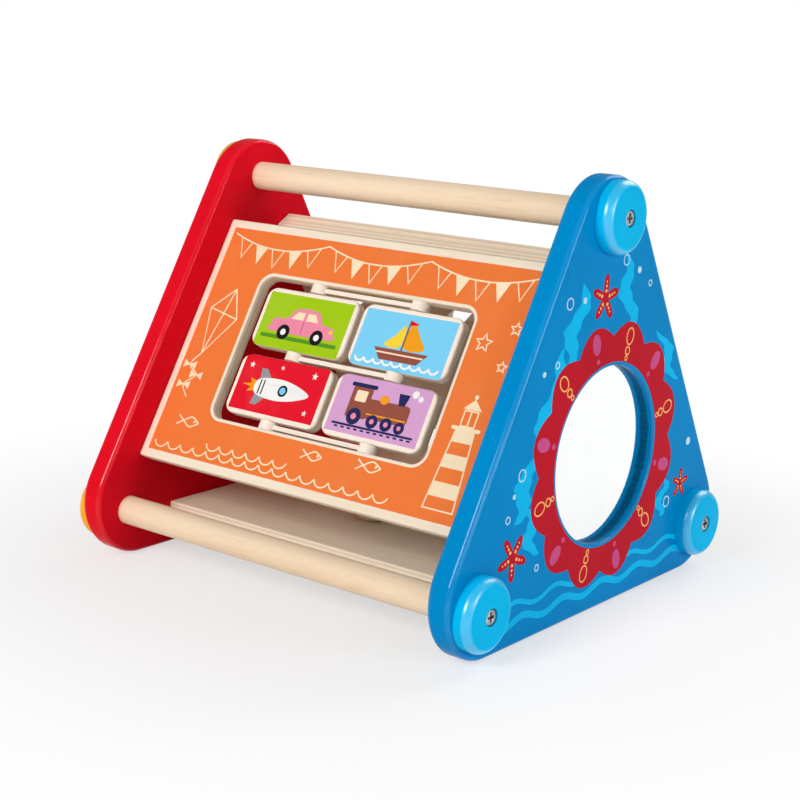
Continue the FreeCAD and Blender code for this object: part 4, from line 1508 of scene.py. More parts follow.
@dataclass
class MirrorEnd(SubAssembly):
    """Blue end panel with its mirror, caps, screws and printed wreath.

    Attributes:
        panel: Node of the panel.
        mirror: Node of the mirror.
        caps: Nodes of the caps.
        screws: Node of the caps' screws.
        petals: Lobes of the wreath round the mirror.
        rim_gap: Bare ring between the recess and the wreath, in millimetres.
        wreath_width: Width of the wreath up to its lobes, in millimetres.
        lobe: How far a lobe stands out, in millimetres.
        cap_clearance: How far bubbles stay from the caps' middles, in millimetres.
        foot_clearance: How far they stay above the foot, in millimetres.
        side_clearance: How far they stay from the sloping edges, in millimetres.
        rounding: How far the edges would meet above the panel's rounded top, in millimetres.
    """

    panel: str = "blue_end_panel"
    mirror: str = "mirror"
    caps: tuple[str, ...] = ("blue_cap_front", "blue_cap_rear", "blue_cap_top")
    screws: str = "blue_cap_screws"
    petals: int = 12
    rim_gap: float = 2.0
    wreath_width: float = 12.5
    lobe: float = 7.0
    cap_clearance: float = 21.5
    foot_clearance: float = 26.0
    side_clearance: float = 9.0
    rounding: float = 29.1

    def build(self) -> list[bpy.types.Object]:
        """Print the sea round the mirror.

        Returns:
            The printed piece.
        """
        face, centre, radius = self._opening()
        radius += self.rim_gap
        sea = Print(face)
        self._waves(sea)
        for root, height, width, lean, phase in (
            ((-69.0, 58.0), 38.0, 12.0, 17.0, 0.4),
            ((-54.0, 40.0), 26.0, 10.0, -5.0, 1.9),
            ((-53.0, 92.0), 42.0, 13.0, 19.0, 2.6),
            ((-33.0, 126.0), 36.0, 12.0, 12.0, 1.2),
            ((21.0, 136.0), 36.0, 11.0, -9.0, 0.2),
            ((66.0, 104.0), 28.0, 9.0, -17.0, 2.2),
            ((60.0, 34.0), 20.0, 8.0, 4.0, 0.9),
        ):
            self._frond(sea, root, height, width, lean, phase)
        self._wreath(sea, centre, radius)
        stars = (((-4.0, 153.0), 11.5, 14), ((-70.0, 43.0), 11.5, 52), ((80.0, 48.0), 8.0, 84))
        for place, size, turn in stars:
            self._starfish(sea, place, size, turn)
        keep_outs = [(place, size + 2.5) for place, size, _ in stars]
        keep_outs += [(face.along(middle_of(cap)), self.cap_clearance) for cap in self.caps]
        keep_outs.append((centre, radius + self.wreath_width + self.lobe + 3.0))
        self._bubbles(sea, face, keep_outs)
        return [sea.build("blue_end_print", "blue_paint")]

    def _opening(self) -> tuple[Face, Point, float]:
        """Find the recess.

        Returns:
            The panel's face from the middle of its foot, and the mirror's middle and radius on it.
        """
        face = Face.of_node(self.panel, Y_AXIS, Z_AXIS)
        face = face.moved(0, -face.half_height)
        low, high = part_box(self.mirror)
        return face, face.along(middle_of(self.mirror)), (high.y - low.y) / 2 / MM

    @staticmethod
    def _waves(sea: Print) -> None:
        """Print two wavy bands along the foot; their ends lie under the caps.

        Args:
            sea: The print.
        """
        half_length, rise, pitch, steps = 98.0, 1.9, 5.4, 40
        for level, width, phase in ((11.5, 3.4, 0.0), (19.5, 2.4, 1.3)):
            places = (half_length * (step / steps - 1) for step in range(2 * steps + 1))
            path = [(u, level + rise * math.sin(u / pitch + phase)) for u in places]
            sea.line(path, width, Ink.LIGHT_BLUE)

    @staticmethod
    def _frond(sea: Print, root: Point, height: float, width: float, lean: float, phase: float) -> None:
        """Print a frond of weed that waves from side to side and narrows to its tip.

        Args:
            sea: The print.
            root: Where it grows from.
            height: Height of its tip above the root, in millimetres.
            width: Its greatest width, in millimetres.
            lean: How far the tip lies to the side of the root, in millimetres.
            phase: Where its waves start, in radians.
        """
        count, start, fullness = 40, 0.08, 0.7
        sway, sway_turns, ripple, ripple_turns = 3.4, 9.0, 0.16, 30.0
        left, right = [], []
        for step in range(count + 1):
            share = step / count
            u = root[0] + lean * share + sway * math.sin(phase + sway_turns * share)
            v = root[1] + height * share
            half = width / 2 * math.sin(math.pi * (start + 0.92 * share)) ** fullness
            half *= 1.0 + ripple * math.sin(phase + ripple_turns * share)
            left.append((u - half, v))
            right.append((u + half, v))
        sea.band(left, right, Ink.LIGHT_BLUE, closed=False)

    def _wreath(self, sea: Print, centre: Point, radius: float) -> None:
        """Print the petalled wreath, with two dots or three rings in each petal.

        Args:
            sea: The print.
            centre: Middle of the mirror.
            radius: Inner radius of the wreath.
        """
        body = radius + self.wreath_width
        count = self.petals * 16
        outer = polar(centre, lambda angle: body + self.lobe * abs(math.sin(self.petals * angle / 2)), count)
        inner = polar(centre, lambda angle: radius, count)
        sea.band(outer, inner, Ink.DEEP_RED, 1)
        for petal in range(self.petals):
            angle = WHOLE_TURN * (petal + 0.5) / self.petals
            turn = math.degrees(angle)
            if petal % 2:
                sea.fill(ellipse(swing(centre, body - 0.5, angle), (5.2, 3.4), turn), Ink.ROSE, 2)
                sea.dot(swing(centre, radius + 3.4, angle), 1.4, Ink.ROSE, 2, 24)
                continue
            for ring, width in (
                (ellipse(swing(centre, body, angle), (4.0, 3.0), turn), 0.7),
                (circle(swing(centre, body - 7.0, angle), 1.9, 28), 0.7),
                (circle(swing(centre, radius + 1.9, angle), 1.1, 24), 0.6),
            ):
                sea.line(ring, width, Ink.PEACH, 2, closed=True)

    @staticmethod
    def _starfish(sea: Print, place: Point, size: float, turn: float) -> None:
        """Print a five-armed star with soft arms and a line of dots along each.

        Args:
            sea: The print.
            place: Middle of the star.
            size: Length of an arm, in millimetres.
            turn: Angle of the first arm, in degrees.
        """
        start = math.radians(turn)
        outline = polar(place, lambda angle: size * (0.64 + 0.36 * math.cos(5 * angle)), 80, start)
        sea.fill(outline, Ink.DEEP_RED, 1)
        for arm in range(5):
            for share, radius in ((0.30, 0.075), (0.50, 0.060), (0.68, 0.045)):
                spot = swing(place, size * share, start + WHOLE_TURN * arm / 5)
                sea.dot(spot, size * radius, Ink.PEACH, 2, 16)

    def _bubbles(self, sea: Print, face: Face, keep_outs: list[tuple[Point, float]]) -> None:
        """Print small bubbles on a sunflower spiral, wherever the panel is free.

        Args:
            sea: The print.
            face: The panel's face, with its origin at the middle of the foot.
            keep_outs: Circles that hold no bubbles, each a middle and a radius.
        """
        golden = math.radians(137.508)
        spacing, middle, line_width = 5.6, 70.0, 0.6
        first, last, stride = 20, 700, 3
        apex = face.half_height * 2 + self.rounding
        for step in range(first, last, stride):
            u, v = swing((0.0, middle), spacing * math.sqrt(step), golden * step)
            to_side = ((apex - v) - abs(u) * math.sqrt(3)) / 2
            free = all(math.dist((u, v), place) > radius for place, radius in keep_outs)
            if free and v > self.foot_clearance and to_side > self.side_clearance:
                size = 0.8 + 1.3 * (0.5 + 0.5 * math.sin(step * 2.3))
                if step % 2:
                    sea.dot((u, v), size, Ink.FOAM, 3, 20)
                else:
                    sea.line(circle((u, v), size + line_width, 24), line_width, Ink.FOAM, 3, closed=True)

    def dress(self) -> None:
        """Finish the panel, mirror, caps and screws."""
        face, centre, radius = self._opening()
        # The panel's finish paints shade onto the recess's wall near the mirror.
        RecessedPaintFinish(
            Ink.SEA_BLUE, gloss=PANEL_GLOSS, rim_coat=0.2, rim_roughness=0.12,
            face=face, centre=centre, radius=radius,
        ).dress(self.panel)
        cap_finish(Ink.LIGHT_BLUE).dress(*self.caps)
        MirrorFinish().dress(self.mirror)
        MetalFinish("plated steel").dress(self.screws)


PANEL_GLOSS = 0.02


def cap_finish(ink: Ink) -> PaintFinish:
    """Lacquer of the round caps, with a bright rounding."""
    return PaintFinish(ink, along=(0.0, 1.0, 0.0), gloss=PANEL_GLOSS, rim_coat=1.0)


@dataclass
class RedEnd(SubAssembly):
    """Red end panel with its yellow caps and screws.

    Attributes:
        panel: Node of the panel.
        caps: Nodes of the caps.
        screws: Node of the caps' screws.
    """

    panel: str = "red_end_panel"
    caps: tuple[str, ...] = ("yellow_cap_front", "yellow_cap_rear", "yellow_cap_top")
    screws: str = "yellow_cap_screws"

    def dress(self) -> None:
        """Finish the panel, caps and screws."""
        PaintFinish(Ink.SIGNAL_RED, gloss=PANEL_GLOSS, rim_coat=0.2, rim_roughness=0.12).dress(self.panel)
        cap_finish(Ink.WARM_YELLOW).dress(*self.caps)
        MetalFinish("plated steel").dress(self.screws)


@dataclass
class Dowels(SubAssembly):
    """The handle, the two bottom dowels and the hidden pins.

    Attributes:
        dowels: Nodes of the dowels.
        pins: Node of the pins.
    """

    dowels: tuple[str, ...] = ("handle_dowel", "front_dowel", "rear_dowel")
    pins: str = "board_pins"

    def dress(self) -> None:
        """Finish the dowels and the pins."""
        WoodFinish("lacquered beech").dress(*self.dowels, self.pins)


@dataclass
class TileBoard(SubAssembly):
    """Front board with its window, axles, spacers and printed seaside.

    Attributes:
        board: Node of the board.
        axles: Nodes of the tiles' axles.
        spacers: Nodes of the spacers between the tiles.
        slope: Unit vector up the board.
        window: Half size of the window, in millimetres.
        window_band: Bare band round the window, in millimetres.
    """

    board: str = "front_board"
    axles: tuple[str, ...] = ("tile_axle_left", "tile_axle_right")
    spacers: tuple[str, ...] = ("top_tile_spacer", "middle_tile_spacer", "bottom_tile_spacer")
    slope: Vector = field(default_factory=lambda: joint_axis("upper_left_tile_turn"))
    window: Point = (67.5, 39.2)
    window_band: float = 1.7

    def face(self) -> Face:
        """The board's outer face."""
        return Face.of_node(self.board, X_AXIS, self.slope)

    def build(self) -> list[bpy.types.Object]:
        """Print the line drawings round the window.

        Returns:
            The printed piece.
        """
        sheet = Print(self.face())
        pen = Pen(sheet)
        self._bunting(pen)
        self._kite(pen, (-85.0, 14.0))
        self._waves(pen)
        for place, size in (((-78.0, -44.5), 5.2), ((6.0, -46.5), 4.6), ((41.0, -45.0), 5.2)):
            self._fish(pen, place, size)
        self._lighthouse(pen, 84.0, -57.0)
        for place, size in (((77.0, 24.0), 4.6), ((92.0, 33.0), 3.4), ((91.0, 14.0), 2.8)):
            pen.loop(star(place, size))
        return [sheet.build("front_board_print", "printed_plywood")]

    @staticmethod
    def _bunting(pen: Pen) -> None:
        """Draw three swags of flags along the top.

        Args:
            pen: What it is drawn with.
        """
        ends = (-97.0, -32.5, 32.0, 97.0)
        lowest, sag, steps = 53.5, 6.0, 24
        flag_half, flag_drop, flags, spacing = 4.2, 10.0, 5, 0.36
        for first, last in zip(ends, ends[1:]):
            half = (last - first) / 2
            middle = first + half

            def on_rope(u: float) -> Point:
                """Point on the rope at a place across."""
                return (u, lowest + sag * ((u - middle) / half) ** 2)

            pen.draw([on_rope(first + 2 * half * step / steps) for step in range(steps + 1)])
            for flag in range(flags):
                u = middle + (flag - flags // 2) * half * spacing
                tip = (u, on_rope(u)[1] - flag_drop)
                draw = pen.fill if flag % 2 else pen.loop
                draw([tip, on_rope(u + flag_half), on_rope(u - flag_half)])

    @staticmethod
    def _kite(pen: Pen, place: Point) -> None:
        """Draw a kite with a crossed frame and a tail with bows.

        Args:
            pen: What it is drawn with.
            place: Where the kite's spars cross.
        """
        u, v = place
        top, right = (u + 3.0, v + 15.0), (u + 10.5, v - 1.0)
        bottom, left = (u - 4.0, v - 22.0), (u - 9.5, v + 3.0)
        pen.loop([top, left, bottom, right])
        pen.draw([top, bottom])
        pen.draw([left, right])
        bows = [(u - 8.5, v - 29.0), (u - 2.0, v - 34.0), (u - 8.0, v - 40.0)]
        pen.draw(smooth([bottom, *bows, (u - 3.0, v - 46.0)]))
        for bow_u, bow_v in bows:
            for side in (-1, 1):
                wing = [(bow_u, bow_v), (bow_u + side * 4.2, bow_v + 2.2), (bow_u + side * 4.2, bow_v - 2.2)]
                pen.fill(wing[::side])

    @staticmethod
    def _waves(pen: Pen) -> None:
        """Draw two rows of scalloped waves along the bottom.

        Args:
            pen: What it is drawn with.
        """
        pitch = 9.0
        for level, first, count in ((-56.0, -92.5, 17), (-52.0, -58.0, 6)):
            for wave in range(count):
                pen.draw(arc((first + pitch * wave, level), pitch / 2, 200, 340))

    @staticmethod
    def _fish(pen: Pen, place: Point, size: float) -> None:
        """Draw a small fish as two curves and a dot.

        Args:
            pen: What it is drawn with.
            place: Middle of its body.
            size: Half of its body's length, in millimetres.
        """
        u, v = place
        for side in (1, -1):
            back = [(-1.7, -0.45 * side), (-1.0, 0.0), (0.0, 0.5 * side), (1.0, 0.0)]
            pen.draw(smooth([(u + size * along, v + size * above) for along, above in back]))
        pen.fill(circle((u + size * 0.45, v + size * 0.08), 0.7, 16))

    @staticmethod
    def _lighthouse(pen: Pen, u: float, v: float) -> None:
        """Draw a striped tower with its gallery, lantern and roof.

        Args:
            pen: What it is drawn with.
            u: Middle of the tower.
            v: Its foot.
        """
        foot, neck, tall = 8.5, 5.2, 38.0

        def stretch(low: float, high: float) -> Outline:
            """The tower's outline from one height to another.

            Args:
                low: Lower height, in millimetres.
                high: Upper height, in millimetres.

            Returns:
                The outline.
            """
            wide, slim = (foot + (neck - foot) * height / tall for height in (low, high))
            return [(u - wide, v + low), (u + wide, v + low), (u + slim, v + high), (u - slim, v + high)]

        pen.loop(stretch(0.0, tall))
        for low, high in ((6.0, 13.0), (20.0, 26.5), (32.5, 37.6)):
            pen.fill(stretch(low, high))
        gallery = v + tall + 1.2
        pen.sheet.line([(u - 7.2, gallery), (u + 7.2, gallery)], 1.8, pen.ink, 1)
        pen.loop(rounded_box((u, gallery + 5.0), (3.8, 3.8), 0.5))
        pen.draw([(u, gallery + 1.4), (u, gallery + 8.4)])
        pen.fill([(u - 5.2, gallery + 9.4), (u + 5.2, gallery + 9.4), (u, gallery + 14.5)])
        pen.fill(circle((u, gallery + 15.6), 1.1, 16))

    def dress(self) -> None:
        """Finish the board, its axles and its spacers."""
        bare = tuple(half + self.window_band for half in self.window)
        PrintedBoardFinish("orange printed plywood", face=self.face(), window=bare).dress(self.board)
        MetalFinish("drawn steel", 0.22).dress(*self.axles)
        WoodFinish(
            "lacquered maple", pale=Ink.MAPLE, grain=Ink.MAPLE_GRAIN, fleck=Ink.MAPLE_FLECK,
        ).dress(*self.spacers)


@dataclass
class Tile(SubAssembly):
    """One turning tile with a picture on its front and a plain pattern on its back.

    Attributes:
        node: Node of the tile.
        ink: Colour of its fields.
        accent: Second colour, on the back.
        pattern: Pattern on the back.
        thickness: Thickness of the tile, in millimetres.
    """

    node: str
    ink: Ink
    accent: Ink
    pattern: BackPattern
    thickness: float = 6.4

    def face(self) -> Face:
        """The tile's front face."""
        return Face.of_node(self.node, X_AXIS, joint_axis(f"{self.node}_turn"))

    @abstractmethod
    def picture(self, sheet: Print) -> None:
        """Print the tile's picture.

        Args:
            sheet: The print.
        """

    def build(self) -> list[bpy.types.Object]:
        """Print the picture on the front.

        Returns:
            The printed piece.
        """
        sheet = Print(self.face())
        self.picture(sheet)
        return [sheet.build(f"{self.node}_print", "printed_tile")]

    def dress(self) -> None:
        """Finish the tile."""
        TileFinish(
            f"{self.ink.words} printed tile", face=self.face(), thickness=self.thickness, ink=self.ink,
            accent=self.accent, pattern=self.pattern, neighbour=-1 if "upper" in self.node else 1,
        ).dress(self.node)


class CarTile(Tile):
    """A pink car on a green field."""

    def picture(self, sheet: Print) -> None:
        """Print the road, the car, its windows, wheels, lamp and door.

        Args:
            sheet: The print.
        """
        sheet.line([(-24.0, -9.8), (24.0, -9.8)], 2.0, Ink.LEAF)
        body = [
            (-19.0, -7.0), (19.0, -7.0), (20.5, -4.0), (19.5, -0.8), (12.0, 0.6), (7.5, 6.2),
            (-6.5, 6.4), (-11.5, 0.8), (-19.0, -0.2), (-20.5, -3.6),
        ]
        sheet.fill(smooth(body, closed=True, steps=6), Ink.PINK, 1)
        sheet.fill([(-9.0, 0.8), (-1.0, 0.8), (-1.0, 4.8), (-5.6, 4.8)], Ink.CREAM, 2)
        sheet.fill([(1.0, 0.8), (8.8, 0.8), (5.8, 4.8), (1.0, 4.8)], Ink.CREAM, 2)
        for u in (-11.0, 11.0):
            sheet.dot((u, -6.8), 4.0, Ink.BLACK, 2)
            sheet.dot((u, -6.8), 1.7, Ink.WHITE, 3, 24)
        sheet.fill(ellipse((18.8, -2.8), (1.3, 1.0), 0, 20), Ink.LEMON, 2)
        sheet.line([(0.0, 0.0), (0.0, -5.6)], 0.5, Ink.ROSE, 2)


class BoatTile(Tile):
    """A sailing boat on a light blue field."""

    def picture(self, sheet: Print) -> None:
        """Print the sails, mast, pennant, hull and water.

        Args:
            sheet: The print.
        """
        for sail, ink in (
            ([(1.0, -3.6), (12.8, -3.4), (8.4, 3.0), (2.2, 9.4)], Ink.MARIGOLD),
            ([(-1.4, -3.6), (-1.4, 7.6), (-6.0, 2.0), (-11.0, -3.4)], Ink.LEMON),
        ):
            sheet.fill(smooth(sail, closed=True, steps=6), ink, 1)
        sheet.line([(0.2, -6.0), (0.2, 10.2)], 0.9, Ink.CHESTNUT, 2)
        sheet.fill([(6.0, 9.1), (0.6, 7.8), (0.6, 10.4)], Ink.SCARLET, 2)
        sheet.fill([(-11.0, -11.0), (11.5, -11.0), (16.5, -5.2), (-16.0, -5.2)], Ink.CHESTNUT, 2)
        sheet.line([(-13.6, -7.4), (14.0, -7.4)], 0.8, Ink.CREAM, 3)
        for wave in range(9):
            sheet.line(arc((-22.4 + 5.6 * wave, -10.8), 2.8, 200, 340), 1.1, Ink.WHITE, 4)


class RocketTile(Tile):
    """A white rocket on a red field."""

    def picture(self, sheet: Print) -> None:
        """Print the flame, fins, hull, window, bands and stars.

        Args:
            sheet: The print.
        """
        flame = [
            (-14.0, 2.4), (-20.0, 3.6), (-18.0, 1.0), (-24.0, 0.0),
            (-18.0, -1.0), (-20.0, -3.6), (-14.0, -2.4),
        ]
        sheet.fill(flame, Ink.MARIGOLD)
        for side in (-1, 1):
            fin = [(-5.5, side * 3.6), (-11.0, side * 9.6), (-15.0, side * 9.6), (-13.6, side * 3.0)]
            sheet.fill(fin[::side], Ink.GREY, 1)
        hull = [
            (-14.5, 3.6), (-14.5, -3.6), (-2.0, -5.6), (10.0, -4.2), (20.0, 0.0), (10.0, 4.2), (-2.0, 5.6),
        ]
        sheet.fill(smooth(hull, closed=True, steps=6), Ink.WHITE, 2)
        sheet.dot((3.0, 0.0), 3.0, Ink.BLACK, 3)
        sheet.dot((3.0, 0.0), 1.9, Ink.SKY, 4, 28)
        for u in (-12.4, -10.2):
            sheet.line([(u, -3.6), (u, 3.6)], 0.8, Ink.BLACK, 3)
        for *place, size in ((-22.0, 10.4, 1.8), (19.5, 10.6, 2.0), (21.0, -8.6, 1.6), (-2.0, 11.6, 1.3)):
            sheet.fill(star(place, size), Ink.WHITE, 1)


class TrainTile(Tile):
    """A brown steam engine on a lilac field."""

    def picture(self, sheet: Print) -> None:
        """Print the track, boiler, cab, chimney, dome, wheels and smoke.

        Args:
            sheet: The print.
        """
        sheet.line([(-24.0, -9.2), (24.0, -9.2)], 1.1, Ink.NAVY)
        for sleeper in range(12):
            u = -22.0 + 4.0 * sleeper
            sheet.line([(u, -10.6), (u + 1.4, -10.6)], 0.9, Ink.NAVY)
        for centre, half_size, radius, ink, layer in (
            ((4.0, 0.6), (14.0, 5.0), 2.4, Ink.CHESTNUT, 1),
            ((-12.5, 3.0), (6.0, 8.0), 0.8, Ink.CHESTNUT, 1),
            ((-12.5, 11.4), (7.8, 1.0), 0.8, Ink.NAVY, 2),
            ((-12.5, 6.0), (3.4, 2.8), 0.6, Ink.CREAM, 2),
        ):
            sheet.fill(rounded_box(centre, half_size, radius), ink, layer)
        sheet.fill([(10.2, 5.2), (13.8, 5.2), (15.2, 11.0), (8.8, 11.0)], Ink.NAVY, 2)
        sheet.fill(ellipse((1.5, 6.4), (2.6, 2.2), 0, 28), Ink.MARIGOLD, 2)
        sheet.line([(-6.0, -2.0), (17.0, -2.0)], 0.8, Ink.MARIGOLD, 2)
        for u, radius in ((-13.0, 4.2), (-1.5, 3.4), (7.0, 3.4), (15.0, 3.0)):
            sheet.dot((u, radius - 8.6), radius, Ink.NAVY, 3)
            sheet.dot((u, radius - 8.6), radius * 0.38, Ink.PINK, 4, 20)
        for place, radius in (((18.0, 12.0), 1.9), ((21.6, 10.2), 1.4)):
            sheet.dot(place, radius, Ink.WHITE, 2, 24)


@dataclass
class SliderBoard(SubAssembly):
    """Rear board in two layers, with its sliders.

    Attributes:
        board: Node of the outer layer.
        inner: Node of the inner layer.
        knobs: Colour of each slider's knob; the last slider runs straight.
        half_slot: Half of a slot's width, in millimetres.
        track_gap: Bare band between a slot and the line round it, in millimetres.
        line_width: Width of that line, in millimetres.
    """

    board: str = "maze_board"
    inner: str = "rear_board"
    knobs: dict[str, Ink] = field(default_factory=lambda: {
        "left_slider": Ink.SIGNAL_RED, "middle_slider": Ink.WARM_YELLOW, "right_slider": Ink.LIGHT_BLUE,
    })
    half_slot: float = 4.3
    track_gap: float = 2.6
    line_width: float = 0.9

    def face(self) -> Face:
        """The outer layer's outer face, which faces the rear; its slope mirrors the front board's."""
        slope = joint_axis("upper_left_tile_turn")
        return Face.of_node(self.board, -X_AXIS, Vector((0, -slope.y, slope.z)))

    def build(self) -> list[bpy.types.Object]:
        """Print a line round each slot and a few motifs between them.

        Returns:
            The printed piece.
        """
        face = self.face()
        garden = Print(face)
        width = self.half_slot + self.track_gap
        *curved, straight = self.knobs
        for slider in curved:
            garden.line(self._arc_track(face, slider, width), self.line_width, Ink.CREAM, closed=True)
        start = face.along(middle_of(f"{straight}_knob"))
        half_run = joint(f"{straight}_run")["range_m"][1] / MM / 2
        track = rounded_box((start[0], start[1] + half_run), (width, half_run + width), width)
        garden.line(track, self.line_width, Ink.CREAM, closed=True)
        for *place, size in ((53.0, -2.0, 7.0), (-17.5, -2.0, 7.0), (18.0, 36.0, 6.0), (17.0, -40.0, 8.0)):
            self._daisy(garden, place, size)
        for place in (
            (53.0, -43.0), (86.0, -44.0), (-17.5, -43.0), (-47.0, -48.0), (88.0, 46.0), (-46.0, 48.0),
        ):
            self._sprig(garden, place)
        return [garden.build("maze_board_print", "painted_plywood")]

    @staticmethod
    def _arc_track(face: Face, slider: str, width: float) -> Outline:
        """Closed line at an even distance from the middle of a curved slot.

        Args:
            face: The board's face.
            slider: Name of the slider that runs in the slot.
            width: Distance from the slot's middle line, in millimetres.

        Returns:
            The outline.
        """
        turn = joint(f"{slider}_arc")
        centre = face.along(Vector(turn["pos_m"]))
        knob = face.along(middle_of(f"{slider}_knob"))
        radius = math.dist(centre, knob)
        first = math.degrees(math.atan2(knob[1] - centre[1], knob[0] - centre[0]))
        sweep = turn["range_deg"][1] * math.copysign(1, Vector(turn["axis"]).dot(face.out))
        low, high = sorted((first, first + sweep))

        def tip(end: float, start: float) -> Outline:
            """Half circle round an end of the slot."""
            middle = swing(centre, radius, math.radians(end))
            return arc(middle, width, start, start + 180, 12)

        return [
            *arc(centre, radius + width, low, high, 40), *tip(high, high),
            *arc(centre, radius - width, high, low, 40), *tip(low, low + 180),
        ]

    @staticmethod
    def _daisy(garden: Print, place: Point, size: float) -> None:
        """Print a flower with round petals.

        Args:
            garden: The print.
            place: Middle of the flower.
            size: Radius of its petals' tips, in millimetres.
        """
        petals = polar(place, lambda angle: size * (0.72 + 0.28 * abs(math.cos(4 * angle))), 96)
        garden.fill(petals, Ink.CREAM, 1)
        garden.dot(place, size * 0.30, Ink.MARIGOLD, 2, 24)

    @staticmethod
    def _sprig(garden: Print, place: Point) -> None:
        """Print a stem with two pairs of leaves and a bud.

        Args:
            garden: The print.
            place: Middle of the stem.
        """
        u, v = place
        garden.line([(u, v - 6.0), (u, v + 5.0)], 0.8, Ink.LEAF)
        for level in (-1.0, 3.0):
            for side in (-1, 1):
                garden.fill(ellipse((u + side * 2.8, v + level), (2.9, 1.3), side * 32, 24), Ink.LEAF, 1)
        garden.fill(ellipse((u, v + 7.2), (1.3, 2.6), 0, 24), Ink.LEAF, 1)

    def dress(self) -> None:
        """Finish both layers and the sliders."""
        face = self.face()
        PrintedBoardFinish(
            "green printed plywood", face=face, thickness=3.6, plies=3, ink=Ink.LIME,
        ).dress(self.board)
        PlywoodFinish("inner plywood", face=Face.of_node(self.inner, face.across, face.up)).dress(self.inner)
        for slider, ink in self.knobs.items():
            PaintFinish(ink).dress(f"{slider}_knob")
            WoodFinish("lacquered beech").dress(f"{slider}_retainer")


@dataclass
class BaseBoard(SubAssembly):
    """Base board with the disc that turns under it.

    Attributes:
        board: Node of the board.
        disc: Node of the disc.
        peg: Node of the peg that the disc turns on.
        inks: Colours of the disc's sectors, in turn.
        sectors: Number of sectors.
        radii: Inner and outer radius of the sectors, in millimetres.
    """

    board: str = "base_board"
    disc: str = "base_disc"
    peg: str = "base_disc_peg"
    inks: tuple[Ink, ...] = (Ink.SIGNAL_RED, Ink.LEMON, Ink.LIME, Ink.SKY)
    sectors: int = 8
    radii: Point = (9.0, 25.5)

    def build(self) -> list[bpy.types.Object]:
        """Print a ring of coloured sectors on the disc's lower face.

        Returns:
            The printed piece.
        """
        wheel = Print(Face.of_node(self.disc, X_AXIS, -Y_AXIS))
        turn = 360 / self.sectors
        for sector in range(self.sectors):
            start = turn * sector
            inner, outer = (arc((0, 0), radius, start, start + turn, 10) for radius in self.radii)
            wheel.band(outer, inner, self.inks[sector % len(self.inks)], closed=False)
        return [wheel.build("base_disc_print", "yellow_paint")]

    def dress(self) -> None:
        """Finish the board, the disc and its peg."""
        PlywoodFinish("base plywood", face=Face.of_node(self.board, X_AXIS, -Y_AXIS)).dress(self.board)
        PaintFinish(Ink.WARM_YELLOW, along=(0.0, 1.0, 0.0)).dress(self.disc)
        WoodFinish("lacquered beech").dress(self.peg)


# ------------------------------------------------------------------------------------ studio


@dataclass
class SoftLight:
    """A large square lamp that points at a target.

    Attributes:
        name: Name of the lamp.
        place: Position in metres.
        power: Power in watts.
        size: Side of the square, in metres.
        target: Where it points, in metres.
    """

    name: str
    place: Triple
    power: float
    size: float
    target: Triple = (0.0, 0.0, 0.1)

    def build(self) -> None:
        """Hang the lamp."""
        data = bpy.data.lights.new(self.name, "AREA")
        data.shape = "SQUARE"
        data.size = self.size
        data.energy = self.power
        lamp = bpy.data.objects.new(self.name, data)
        lamp.location = self.place
        aim = Vector(self.target) - Vector(self.place)
        lamp.rotation_euler = aim.to_track_quat("-Z", "Y").to_euler()
        bpy.context.scene.collection.objects.link(lamp)


@dataclass
class Camera:
    """Where the camera stands and how it looks.

    Attributes:
        place: Position in metres.
        azimuth: Turn about Z from looking along +Y, in degrees.
        elevation: Height angle from which it looks down, in degrees.
        roll: Tilt about its own axis, in degrees.
        lens: Focal length on the sensor below, in millimetres.
        sensor: Sensor width in millimetres.
        shift: Lens shift as shares of the picture's width.
        nearest: Distance from which it sees, in metres.
    """

    place: Triple = (0.517183, -0.668070, 0.279012)
    azimuth: float = 38.0948
    elevation: float = 12.7217
    roll: float = 1.9741
    lens: float = 76.0037
    sensor: float = 36.0
    shift: tuple[float, float] = (0.003168, -0.009609)
    nearest: float = 0.05

    def build(self) -> None:
        """Set up the camera and make it the scene's own."""
        a, e, r = (math.radians(angle) for angle in (self.azimuth, self.elevation, self.roll))
        back = Vector((math.sin(a) * math.cos(e), -math.cos(a) * math.cos(e), math.sin(e)))
        level = Z_AXIS.cross(back).normalized()
        upright = back.cross(level)
        right = level * math.cos(r) + upright * math.sin(r)
        up = upright * math.cos(r) - level * math.sin(r)
        data = bpy.data.cameras.new("camera")
        data.lens = self.lens
        data.sensor_width = self.sensor
        data.shift_x, data.shift_y = self.shift
        data.clip_start = self.nearest
        camera = bpy.data.objects.new("camera", data)
        turn = Matrix((right, up, back)).transposed()
        camera.matrix_world = Matrix.Translation(self.place) @ turn.to_4x4()
        bpy.context.scene.collection.objects.link(camera)
        bpy.context.scene.camera = camera


